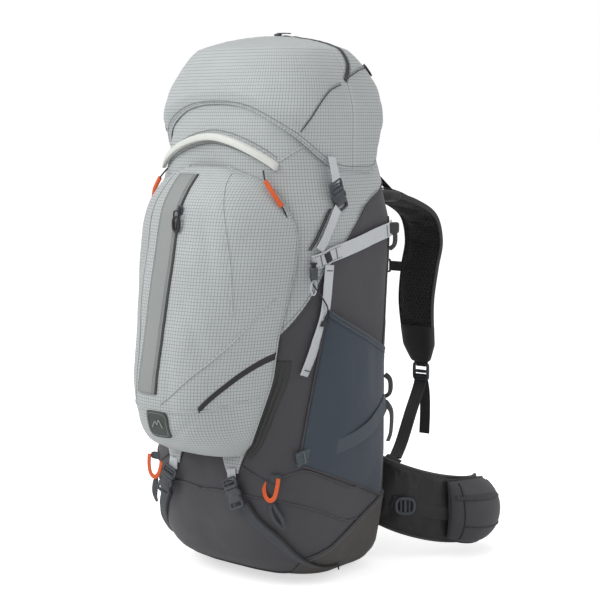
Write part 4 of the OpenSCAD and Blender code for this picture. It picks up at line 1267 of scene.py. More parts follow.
# ---- The sides ----
@dataclass
class Flank(Maker):
    """One side: stretch pocket, straps, pale webbing, cord lock with its pull tab, and bottom fittings."""

    name: str
    sign: int
    # Start and run of y, then of the height, from front to rear
    pocket_foot: tuple = (-76, 162, 176, -68)
    pocket_mouth: tuple = (-39, 121, 384, -66)
    pocket_full: float = 24
    strap_width: float = 20
    strip_width: float = 18
    foot_width: float = 15
    # y and height
    upper_knots: tuple = ((-62, 445), (-46, 450), (-30, 457), (23, 469), (69, 479), (106, 485))
    strip_knots: tuple = ((-37, 442), (-41, 395), (-45, 371), (-56, 334), (-68, 295))
    loop_places: tuple = ((96, 262), (99, 470))

    def side(self, y: Array, z: Array, off: Array = 0) -> Array:
        """Points of this side's face."""
        return self.shape.side(y, z, off, self.sign)

    def pocket_face(self, u: Array, v: Array, lift: float = 0) -> Array:
        """Points of the side pocket: u up it and v from front to rear, swelling in the middle."""
        y0, dy, z0, dz = self.pocket_foot
        low = np.stack([y0 + dy * v, z0 + dz * v], -1)
        y0, dy, z0, dz = self.pocket_mouth
        top = np.stack([y0 + dy * v, z0 + dz * v ** .8], -1)
        yz = low + (top - low) * u[..., None]
        full = self.pocket_full * np.sin(np.pi * v) ** .6 * np.sin(np.pi / 2 * np.minimum(1, u * 2.4)) ** .8 * (.5 + .5 * (1 - u))
        wave = .8 * noise(np.stack([yz[..., 0], yz[..., 1], 0 * u], -1) * [1, .6, 1], 26, 31) * np.sin(np.pi * v)
        base = self.side(yz[..., 0], yz[..., 1], 0)
        out = unit(self.side(yz[..., 0], yz[..., 1], 1) - base)
        return base + out * (1.8 + full + wave + lift + self.slack(base))[..., None]

    def pocket(self) -> None:
        """The stretch pocket, with a bound hem along its slanted mouth."""
        u, v = np.meshgrid(np.linspace(0, 1, 80), np.linspace(0, 1, 60), indexing="ij")
        points = self.pocket_face(u, v)
        piece(f"stretch_pocket_{self.name}", Patchwork().grid(points, away=(0, 20, 260)), SLATE, "pack",
              [f"side_pocket_{self.name}"], 1.2)
        one = np.linspace(0.01, .99, 70)
        top = self.pocket_face(1 + 0 * one, one)
        hem, out = top, unit(self.side(top[:, 1], top[:, 2], 1) - self.side(top[:, 1], top[:, 2], 0))
        patch = webbing(hem + out * .4 - [0, 0, 4], out, 9, 2.6)
        piece(f"pocket_hem_{self.name}", patch, SLATE, "pack")
        rows = Patchwork()
        for drop in (1.5, 7.5):
            rows.join(stitches(hem + out * 2 - [0, 0, drop], out))
        piece(f"hem_stitching_{self.name}", rows, THREAD, "pack")
        edge = Patchwork()
        for side in (0, 1):
            line = self.pocket_face(one, side + 0 * one, .6)
            edge.join(tube(line, 1.3, 8, (self.sign, 0, 0)))
        edge.join(tube(self.pocket_face(0 * one, one, .4), 1.3, 8, (self.sign, 0, 0)))
        piece(f"pocket_edge_{self.name}", edge, CHARCOAL, "pack")

    def upper_strap(self) -> None:
        """The pale strap across the top of the side, with the loop it starts in and the clip it ends in."""
        patch, path, out = self.strap_on(self.side, 4.4, self.strap_width, 2, self.upper_knots)
        piece(f"upper_web_{self.name}", patch, PALE_WEB, "pack", [f"upper_strap_{self.name}"])
        rows = self.edge_stitches(path[:16], out[:16], 7.5, 1.1)
        across, up = frames(path, out)
        for k in (4, 12, 50):
            rows.join(self.bar_tack(path[k] + up[k] * 1.1, across[k], up[k], 15))
        piece(f"upper_web_tacks_{self.name}", rows, THREAD, "pack")
        slit = webbing(path[6:10] + up[6:10] * .7, out[6:10], 14, 1.6)
        clip = pebble((0, 0, 0), (3.4, 12.5, 8), 5)
        at = path[-4] + up[-4] * 1.5
        clip.verts = [v * [self.sign, 1, 1] + at for v in clip.verts]
        clip.faces = [f[:, ::self.sign] for f in clip.faces]
        piece(f"strap_clip_{self.name}", slit.join(clip), SMOOTH_BLACK, "pack")

    def lower_strap(self) -> None:
        """The slate strap over the pocket, with its stitched front loop."""
        s = np.linspace(0, 1, 70)
        y, z = -82 + 166 * s, 183 + 62 * s - 6 * np.sin(np.pi * s)
        u = np.clip((z - (174 - 66 * (y + 60) / 146)) / 210, 0, 1)
        v = np.clip((y + 60) / 146, 0, 1)
        on_pocket = self.pocket_face(u, v, 2.2)
        base, out = self.on(lambda d: self.side(y, z, d), 3.6)
        full = np.sum((on_pocket - base) * out, -1)
        path = base + out * np.maximum(0, full)[:, None]
        path[:, 1:] = np.stack([y, z], -1)
        patch = webbing(path, out, self.strap_width, 2)
        piece(f"lower_web_{self.name}", patch, SLATE_WEB, "pack", [f"lower_strap_{self.name}"])
        rows = self.edge_stitches(path[:14], out[:14], 7.5, 1.1)
        across, up = frames(path, out)
        for k in (5, 13, 64):
            rows.join(self.bar_tack(path[k] + up[k] * 1.1, across[k], up[k], 15))
        piece(f"lower_web_tacks_{self.name}", rows, THREAD, "pack")
        tail = [path[-3], path[-3] + [self.sign * 6, 6, -14], path[-3] + [self.sign * 4, 8, -42],
                path[-3] + [self.sign * 1, 5, -56]]
        piece(f"lower_web_tail_{self.name}", webbing(spline(tail, 30), np.array([self.sign, .3, 0.0]), 14, 1.8),
              DARK_WEB, "pack")

    def pale_strip(self) -> None:
        """The pale webbing down the side, its cord lock, elastic loop and dark pull tab."""
        patch, path, out = self.strap_on(self.side, 2.4, self.strip_width, 1.8, self.strip_knots)
        piece(f"side_web_{self.name}", patch, PALE_WEB, "pack", [f"side_webbing_{self.name}"])
        across, up = frames(path, out)
        rows = Patchwork()
        for k in (3, 30, 56):
            rows.join(self.bar_tack(path[k] + up[k] * 1.1, across[k], up[k], 11))
        piece(f"side_web_tacks_{self.name}", rows, THREAD, "pack")
        low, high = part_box(f"cord_lock_{self.name}")
        c = np.array((low + high) / 2) / MM
        a = np.radians(np.linspace(0, 360, 41))
        z = np.array([-8, -7.9, -7, -3, 0, 2.5, 6, 7.6, 8, 8, 0.5])
        r = np.array([.2, 4.6, 5.8, 6, 5.7, 6, 6, 5.5, 5, 4.0, 3.9])
        ring = np.stack([r[:, None] * np.cos(a), r[:, None] * np.sin(a) * .9, np.repeat(z[:, None], 41, 1)], -1)
        barrel = Patchwork().grid(np.concatenate([np.full((1, 41, 3), (0, 0, -8.0)), ring,
                                                  np.full((1, 41, 3), (0, 0, 0.5))]))
        barrel.turned(Matrix.Translation(Vector(c)))
        piece(f"lock_barrel_{self.name}", barrel, MOULDED, "pack", [f"cord_lock_{self.name}"])
        low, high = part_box(f"cord_plunger_{self.name}")
        p = np.array((low + high) / 2) / MM
        top = high.z / MM
        button = pebble((p[0], p[1], top - 1.6), (4.5, 4.3, 1.7),
                        3).join(pebble((p[0], p[1], top - 5), (2.9, 2.9, 5), 3))
        piece(f"lock_button_{self.name}", button, SMOOTH_BLACK, f"plunger_{self.name}", [f"cord_plunger_{self.name}"])
        s = self.sign
        loop = np.array([c + (0, 0, -6), c + (s * 1, 4, -14), c + (s * 1, 3, -24), c + (s * 1, -2, -28),
                         c + (s * 1, -7, -22), c + (0, -4, -12), c + (0, 0, -5)])
        made = piece(f"elastic_loop_{self.name}", tube(spline(loop, 60), 1.2, 8, (s, 0, 0)), PALE_CORD, "pack")
        k = 30
        tab_at = path[k] + up[k] * 3
        tri = np.array([(0, 8), (7, -6), (-7, -6)], float)
        b = np.linspace(0, 3, 61)[:-1]
        i = b.astype(int)
        edge = tri[i] + (tri[(i + 1) % 3] - tri[i]) * (b - i)[:, None]
        edge = np.concatenate([edge, edge[:1]])
        r = np.linspace(0, 1, 8)[:, None, None]
        flat = edge[None] * r
        swell = 1.6 * (1 - r[..., 0] ** 6)
        along = unit(np.gradient(path, axis=0))[k]
        pts = tab_at + across[k] * flat[..., :1] - along * flat[..., 1:] + up[k] * swell[..., None]
        tab = Patchwork().grid(pts, away=(0, 0, 350))
        piece(f"pull_tab_{self.name}", tab, SMOOTH_BLACK, "pack", wall=2.2)
        cord = np.array([tab_at + up[k] * .5 + [0, 0, 6], tab_at + [0, 2, 22] + up[k] * 3, c + (0, -3, -12),
                         c + (0, 0, -4)])
        made = piece(f"pull_cord_{self.name}", tube(spline(cord, 40), 1.0, 8, (s, 0, 0)), CORD, "pack")

    def rear_loops(self) -> None:
        """Dark loops of webbing down the rear edge."""
        patch = Patchwork()
        for y, z in self.loop_places:
            at, out = self.on(lambda d: self.side(np.array(y), np.array(z), d), 1)
            knots = [at + [0, 0, 16], at + out * 7 + [0, 2, 10], at + out * 9 + [0, 2, 0], at + out * 7 + [0, 2, -10],
                     at + [0, 0, -16]]
            path = spline(knots, 40)
            patch.join(webbing(path, np.broadcast_to(out, path.shape), 10, 1.8))
        piece(f"rear_loops_{self.name}", patch, DARK_WEB, "pack")

    def foot_strap(self) -> None:
        """Bottom strap, its buckle, and the ripstop tab above it with white webbing."""
        x = 60 * self.sign
        front = self.shape.front
        low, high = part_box("bottom_buckles")
        mid = (low.z + high.z) / 2 / MM + 5
        s = self.sign
        strap, path, out = self.strap_on(front, 3.2, self.foot_width, 1.8,
                                         [(124 * s, 10), (121 * s, 28), (109 * s, 66), (86 * s, 99),
                                          (72 * s, mid - 20)], 50)
        upper, _, _ = self.strap_on(front, 3.6, self.foot_width, 1.8,
                                    [(x - 4 * s, mid + 11), (x - 5 * s, mid + 20), (x - 6 * s, mid + 27)], 20)
        piece(f"foot_web_{self.name}", strap, FOOT_WEB, "pack", ["bottom_straps"])
        piece(f"foot_web_top_{self.name}", upper, PALE_WEB, "pack")
        u, v = np.meshgrid(np.linspace(0, 1, 24), np.linspace(-1, 1, 17), indexing="ij")
        z = mid + 20 + 36 * u
        half = 9.5 + 12 * u ** 1.1
        points, o = self.on(lambda d: front(x - 6 * s + half * v, z, d), 0)
        points = points + o * (2.6 + 1.6 * np.sin(np.pi * u) - 1.2 * v ** 6)[..., None]
        piece(f"foot_tab_{self.name}", Patchwork().grid(points, away=(0, 0, 300)), RIPSTOP, "pack", wall=1.2)
        socket, plug = buckle(24, 8)
        place = np.array(self.shape.front(np.array(x), np.array(mid), 10))
        lean = np.arctan2(*(self.shape.front(np.array(x), np.array([mid + 14, mid - 20]), 0)[:, 1]
                            @ np.array([[1, 0], [-1, 0]]))[:1], 34)
        turn = Matrix.Translation(Vector(place)) @ Matrix.Rotation(-float(lean), 4,
                                                                   "X") @ Matrix.Rotation(np.radians(-24 * self.sign),
                                                                                          4, "Y")
        both = socket.join(plug).turned(turn)
        piece(f"foot_buckle_{self.name}", both, MOULDED, "pack", ["bottom_buckles"])
        # A thin black line just past the strap's edge: a black tube sunk slightly into the cloth.
        line = path + frames(path, out)[0] * 9.2 - out * .4
        piece(f"foot_edge_line_{self.name}", tube(line, 1.1, 8, out[10]), SMOOTH_BLACK, "pack")

    def build(self) -> None:
        """Makes this side."""
        for step in (self.pocket, self.upper_strap, self.lower_strap, self.pale_strip, self.rear_loops,
                     self.foot_strap):
            step()
            LOG.info("%s side: %s", self.name, step.__name__)


# ---- The lid ----
def laid(knots: Sequence, count: int, tree: BVHTree, lift: float) -> tuple[Array, Array]:
    """A smooth path dropped onto the nearest places of a finished surface.

    Args:
        knots: rough places, in millimetres.
        count: how many points the path gets.
        tree: the surface.
        lift: distance above it.

    Returns:
        The path and its outward directions.
    """
    found = [tree.find_nearest(Vector(p * MM)) for p in spline(knots, count)]
    normal = unit(np.array([f[1] for f in found]))
    for _ in range(4):
        normal = unit(np.concatenate([normal[:1], (normal[:-2] + normal[1:-1] + normal[2:]), normal[-1:]]))
    return np.array([f[0] for f in found]) / MM + normal * lift, normal


@dataclass
class Lid(Maker):
    """Lid shell with its hem, zip, seams and tab; floor, straps, buckles and hinge cloth."""

    zip_knots: tuple = ((-64, 36, 752), (-20, 36, 752), (25, 38, 752), (54, 44, 746), (82, 46, 731), (103, 42, 709),
                        (115, 32, 692), (121, 18, 679))

    def shell(self) -> None:
        """Rings from the lower edge up, then a low dome whose rings shrink and rise by 1 - r^2.2."""
        turns = self.shape.even_turns(241)
        edge = self.shape.level_at(turns, self.shape.lid_edge_share)
        brow = .978 * self.shape.height
        s = np.linspace(0, 1, 96)[:, None]
        t = np.broadcast_to(turns, (96, 241))
        z = edge + (brow - edge) * s
        base = self.shape.lid(t, z, 0)
        out = unit(self.shape.lid(t, z, 1) - base)
        soft = 2.2 * noise(base * [1, 1, .7], 70, 41) + 1.1 * noise(base * [1, 1, .8], 27,
                                                                    42) + .35 * noise(base, 10, 43)
        share = (z - edge) / (brow - edge)
        swell = 3.0 * np.sin(np.pi * np.clip(share, 0, 1)) - 1.5 * (share < .02)
        pleat = 1.4 * np.sin(t * .55 + 3 * noise(base, 60, 44)) * np.exp(-share * 7) * np.clip((np.abs(t) - 40) / 30,
                                                                                               0, 1)
        rim = self.shape.lid(turns, edge, 0)
        gap = np.linalg.norm(rim - self.shape.bag(turns, edge, 0), axis=-1) - 5.5
        tuck = np.clip(gap, 0, 30) * np.clip(1 - share * 4.5, 0, 1) ** 1.6
        wall = base + out * ((soft + pleat) * np.clip(share * 8, .3, 1) + swell - tuck)[..., None]
        r = np.linspace(1, 0, 40)[:, None]
        top = wall[-1:]
        centre = np.array([0, 22, 0])
        dome = centre + (top - centre) * r[..., None]
        rise = self.shape.height + 2.5 - top[..., 2]
        dome[..., 2] = top[..., 2] + rise * (1 - r ** 2.0) + 1.0 * noise(dome, 40, 45) * (1 - r) * (r > 0)
        patch = Patchwork().grid(wall, np.stack([self.shape.arc_of(t), z], -1), (0, 20, 640))
        patch.grid(dome, dome[..., :2] + [0, 800], (0, 20, 600))
        self.shell_piece = piece("lid_cloth", patch, RIPSTOP, "lid", ["lid_shell"], 1.5)
        mesh = self.shell_piece.data
        self.tree = BVHTree.FromPolygons([v.co for v in mesh.vertices], [p.vertices for p in mesh.polygons])
        path, normal = wall[0], unit(wall[0] - [0, 20, 640])
        piece("lid_binding", tube(path, 1.2, 8, normal), RIPSTOP, "lid")
        keep = np.abs(turns) < 112
        piece("lid_hem_stitching", stitches((wall[4] + out[4] * .3)[keep], out[4][keep]), THREAD, "lid")

    def seams(self) -> None:
        """Zip and its tape over the top, thin seams down the corners, and the small dark tab."""
        path, out = laid(self.zip_knots, 140, self.tree, .7)
        piece("lid_zip_tape", webbing(path, out, 5.4, 1.2), ZIP, "lid", ["lid_zip"])
        rows = Patchwork()
        across, up = frames(path, out)
        for side in (-1, 1):
            rows.join(stitches(path + across * side * 4.2, up))
        for flip in (1, -1):
            corner = [tuple(self.shape.lid(np.array(float(t)), np.array(float(w)), 0)) for t,
                      w in ((87, 678), (79, 671), (73, 660), (65, 640), (56, 616))]
            for knots in (corner, [(121, 18, 679), (124, 40, 690), (121, 64, 699), (117, 88, 703)]):
                line, normal = laid(np.array(knots) * [flip, 1, 1], 70, self.tree, .35)
                piece(f"lid_seam_{'corner' if knots is corner else 'top'}_{'right' if flip > 0 else 'left'}",
                      tube(line, .8, 8, normal), CHARCOAL, "lid")
                rows.join(stitches(line + [0, 0, 3], normal))
            tab, normal = laid(np.array([(112, 84, 706), (118, 92, 702), (120, 99, 697)]) * [flip, 1, 1], 20,
                               self.tree, 1.5)
            piece(f"lid_tab_{'right' if flip > 0 else 'left'}", webbing(tab, normal, 9, 2.6, .8), SMOOTH_BLACK, "lid")
        piece("lid_stitching", rows, THREAD, "lid")
        low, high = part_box("lid_zip_slider")
        c = np.array([(low.x + .005) / MM, (low.y + high.y) / 2 / MM, high.z / MM])
        body = pebble(c + [0, 0, -1], (5.4, 3.8, 1.5), 4).join(pebble(c + [1, 0, .6], (3.4, 1.3, 1.3), 3))
        grip = webbing(spline([c + [5, 0, .8], c + [12, 0, .9], c + [22, 0, .2]], 20), np.array([0, 0, 1.0]), 5, 1.6)
        piece("lid_slider_body", body.join(grip), MOULDED, "lid_slider", ["lid_zip_slider"])

    def floor(self) -> None:
        """The lid's cloth floor: the lid's ring filled in, sagging in the middle by 1 - r²."""
        low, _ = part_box("lid_floor")
        turns = self.shape.even_turns(161)
        ring = self.shape.lid(turns, low.z / MM + 1.2 + 0 * turns, -4.2)
        r = np.linspace(1, 0, 30)[:, None]
        centre = np.array([0, 20, low.z / MM])
        points = centre + (ring[None] - centre) * r[..., None]
        points[..., 2] -= 3.5 * (1 - r ** 2) - .8 * noise(points, 34, 51) * (1 - r)
        piece("lid_floor_cloth", Patchwork().grid(points, points[..., :2], (0, 0, 900)), LINER, "lid", ["lid_floor"],
              .9)

    def straps(self) -> None:
        """Side straps: lid webbing, the two halves of each buckle, the anchor webbing and its two thin cords."""
        low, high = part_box("lid_male_buckles")
        lo2, hi2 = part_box("lid_female_buckles")
        hinge = joint_at("lid_hinge")
        x = (high.x / MM) - 4.3
        z = (low.z + hi2.z) / 2 / MM
        y = (low.y + high.y + lo2.y + hi2.y) / 4 / MM + 1.8
        lean = float(np.arctan2(hinge[2] - z, hinge[1] - y))
        turn = Matrix.Translation(Vector((x, y, z))) @ Matrix.Rotation(lean, 4, "X") @ Matrix.Rotation(np.radians(90),
                                                                                                       4, "Z")
        for name, sign in SIDES:
            socket, plug = (half.turned(turn) for half in buckle(24, 8))
            side = (lambda p: p) if sign > 0 else (lambda p: p.mirrored())
            piece(f"lid_plug_{name}", side(plug), MOULDED, "lid", ["lid_male_buckles"])
            piece(f"lid_socket_{name}", side(socket), MOULDED, "pack", ["lid_female_buckles"])
            route = spline([(x, y - 4, z + 12), (x + .2, y - 4, z + 20), (x - 3, y - 4, z + 32),
                            (x - 8, y - 3, z + 46)], 40)
            piece(f"lid_web_{name}", side(webbing(route, np.array([1.0, 0, .1]), 15, 1.8)), PALE_WEB, "lid",
                  ["lid_straps"])
            knots = [(-54, 462), (-47, 475), (-40, 490), (-31, 506), (y - 2, z - 22)]
            flank = lambda a, b, d: self.shape.side(a, b, d, sign)
            patch, _, _ = self.strap_on(flank, 5.8, 15, 1.8, knots, 50)
            piece(f"anchor_web_{name}", patch, PALE_WEB, "pack", ["lid_anchor_straps"])
            route = spline(knots, 50)
            for k, shift in enumerate((9.5, 12)):
                line, normal = self.on(lambda d: flank(route[:, 0] - shift, route[:, 1], d), 4.6)
                cord = piece(f"thin_cord_{k}_{name}", tube(line, .8, 8, normal), CORD, "pack")

    def hinge(self) -> None:
        """Hinge webbing on the back, and the cloth that joins lid and bag."""
        x, z = np.meshgrid(np.linspace(-112, 112, 60), np.linspace(566, 636, 40), indexing="ij")
        share = np.clip((z - 590) / 16, 0, 1)
        pts = self.shape.back(x, z, 0)
        pts[..., 1] = self.shape.back(x, 590 + 0 * z, 0)[..., 1] + 2.2 + 2.4 * share + .7 * noise(pts, 22, 61)
        cloth = piece("hinge_cloth", Patchwork().grid(pts, pts[..., ::2], (0, 0, 600)), CHARCOAL, "pack", wall=1.0)
        span(cloth)
        low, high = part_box("lid_hinge_straps")
        for name, sign in SIDES:
            xs = sign * (high.x / MM - 12)
            path = np.array([(xs, high.y / MM + 1.2, v) for v in np.linspace(low.z / MM, high.z / MM - 1, 20)])
            piece(f"hinge_web_{name}", webbing(path, np.array([0, 1.0, 0]), 22, 1.8), DARK_WEB, "pack",
                  ["lid_hinge_straps"])

    def build(self) -> None:
        """Makes the whole lid."""
        for step in (self.shell, self.seams, self.floor, self.straps, self.hinge):
            step()
            LOG.info("lid: %s", step.__name__)


def joint_at(name: str) -> Array:
    """Where a joint of the CAD part is, in millimetres."""
    return np.array([j["pos_m"] for j in frame["joints"] if j["name"] == name][0], float) / MM


def span(made: bpy.types.Object) -> None:
    """Frees a finished piece from its body, and bakes its modifiers and place into its mesh."""
    made.parent = None
    made.matrix_world = Matrix.Identity(4)
    if "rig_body" in made:
        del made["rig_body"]
    apply_modifiers(made)
    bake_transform(made)


# ---- Padding ----
def apply_modifiers(made: bpy.types.Object) -> None:
    """Replaces an object's mesh by what its modifiers make of it."""
    bpy.context.view_layer.update()
    graph = bpy.context.evaluated_depsgraph_get()
    mesh = bpy.data.meshes.new_from_object(made.evaluated_get(graph))
    made.modifiers.clear()
    made.data = mesh


def coords(mesh: bpy.types.Mesh) -> Array:
    """A mesh's points, in metres."""
    flat = np.empty(len(mesh.vertices) * 3, np.float32)
    mesh.vertices.foreach_get("co", flat)
    return flat.reshape(-1, 3).astype(float)


def puff(made: bpy.types.Object, seam: Callable, cap: float, pressure: float = 4.0) -> None:
    """Swells a closed pad as stuffed cloth, with its seams held, then rounds it once.

    Args:
        made: the pad.
        seam: tells from the pad's points, in millimetres, which are sewn down.
        cap: how far a point may move, in millimetres.
        pressure: the stuffing's pressure.
    """
    rest = coords(made.data)
    group = made.vertex_groups.new(name="seam")
    group.add([int(i) for i in np.nonzero(seam(rest / MM))[0]], 1.0, "ADD")
    cloth = made.modifiers.new("stuffing", "CLOTH")
    sets = cloth.settings
    sets.quality, sets.mass = 4, .12
    sets.use_pressure, sets.uniform_pressure_force = True, pressure
    sets.vertex_group_mass = "seam"
    sets.shrink_min = -.04
    sets.effector_weights.gravity = 0
    cloth.collision_settings.use_collision = False
    cloth.point_cache.frame_start, cloth.point_cache.frame_end = 1, 20
    scene = bpy.context.scene
    for number in range(1, 21):
        scene.frame_set(number)
    swollen = made.evaluated_get(bpy.context.evaluated_depsgraph_get()).data
    move = coords(swollen) - rest
    size = np.linalg.norm(move, axis=1, keepdims=True)
    move *= np.minimum(1, cap * MM / np.maximum(size, 1e-9))
    made.modifiers.remove(cloth)
    made.vertex_groups.clear()
    made.data.vertices.foreach_set("co", (rest + move).astype(np.float32).ravel())
    made.data.update()
    scene.frame_set(1)
    rounder = made.modifiers.new("rounding", "SUBSURF")
    rounder.levels = rounder.render_levels = 1


def twin(made: bpy.types.Object, name: str, body: str, replaces: Sequence[str] = (),
         pad: bool = True) -> bpy.types.Object:
    """The same piece on the left side: a mirrored copy of its mesh with its faces turned back outwards."""
    mesh = made.data.copy()
    points = coords(mesh) * [-1, 1, 1]
    mesh.vertices.foreach_set("co", points.astype(np.float32).ravel())
    mesh.flip_normals()
    mesh.update()
    copy = bpy.data.objects.new(name, mesh)
    bpy.context.scene.collection.objects.link(copy)
    for modifier in made.modifiers:
        rounder = copy.modifiers.new(modifier.name, modifier.type)
        if modifier.type == "SUBSURF":
            rounder.levels = rounder.render_levels = modifier.levels
    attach(copy, body)
    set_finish(copy, made["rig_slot"])
    if replaces:
        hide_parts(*replaces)
    return copy


def pad_loft(path: Array, across: Array, out: Array, half_w: Array, half_t: Array, sides: int = 28) -> Patchwork:
    """A closed pad: a rounded flat ring carried along a path, shrunk to a rounded line at both ends.

    Args:
        path: its middle line.
        across: the direction of its width at each point.
        out: the direction of its thickness.
        half_w: half widths along it.
        half_t: half thicknesses.
        sides: points round it.

    Returns:
        The pad.
    """
    a = np.radians(np.linspace(0, 360, sides + 1))
    c, s = signed_power(np.cos(a), 3.2), signed_power(np.sin(a), 2.6)
    spread = across[:, None] * half_w[:, None, None] * c[:, None]
    ring = path[:, None] + spread + out[:, None] * half_t[:, None, None] * s[:, None]
    along = unit(np.gradient(path, axis=0))
    caps = []
    for k, way in ((0, -1), (-1, 1)):
        caps.append([path[k] + along[k] * way * step + (ring[k] - path[k]) * size
                     for step, size in ((2.0, .9), (3.2, .6), (3.6, .25), (3.6, 0))])
    points = np.concatenate([np.array(caps[0][::-1]), ring, np.array(caps[1])])
    run = np.concatenate([np.array([-3.6, -3.6, -3.2, -2]), lengths(path),
                          lengths(path)[-1] + np.array([2, 3.2, 3.6, 3.6])])
    v, u = np.meshgrid(run, np.concatenate([[0], np.cumsum(np.hypot(np.diff(c * half_w.mean()),
                                                                    np.diff(s * half_t.mean())))]), indexing="ij")
    return Patchwork().grid(points, np.stack([u, v], -1))


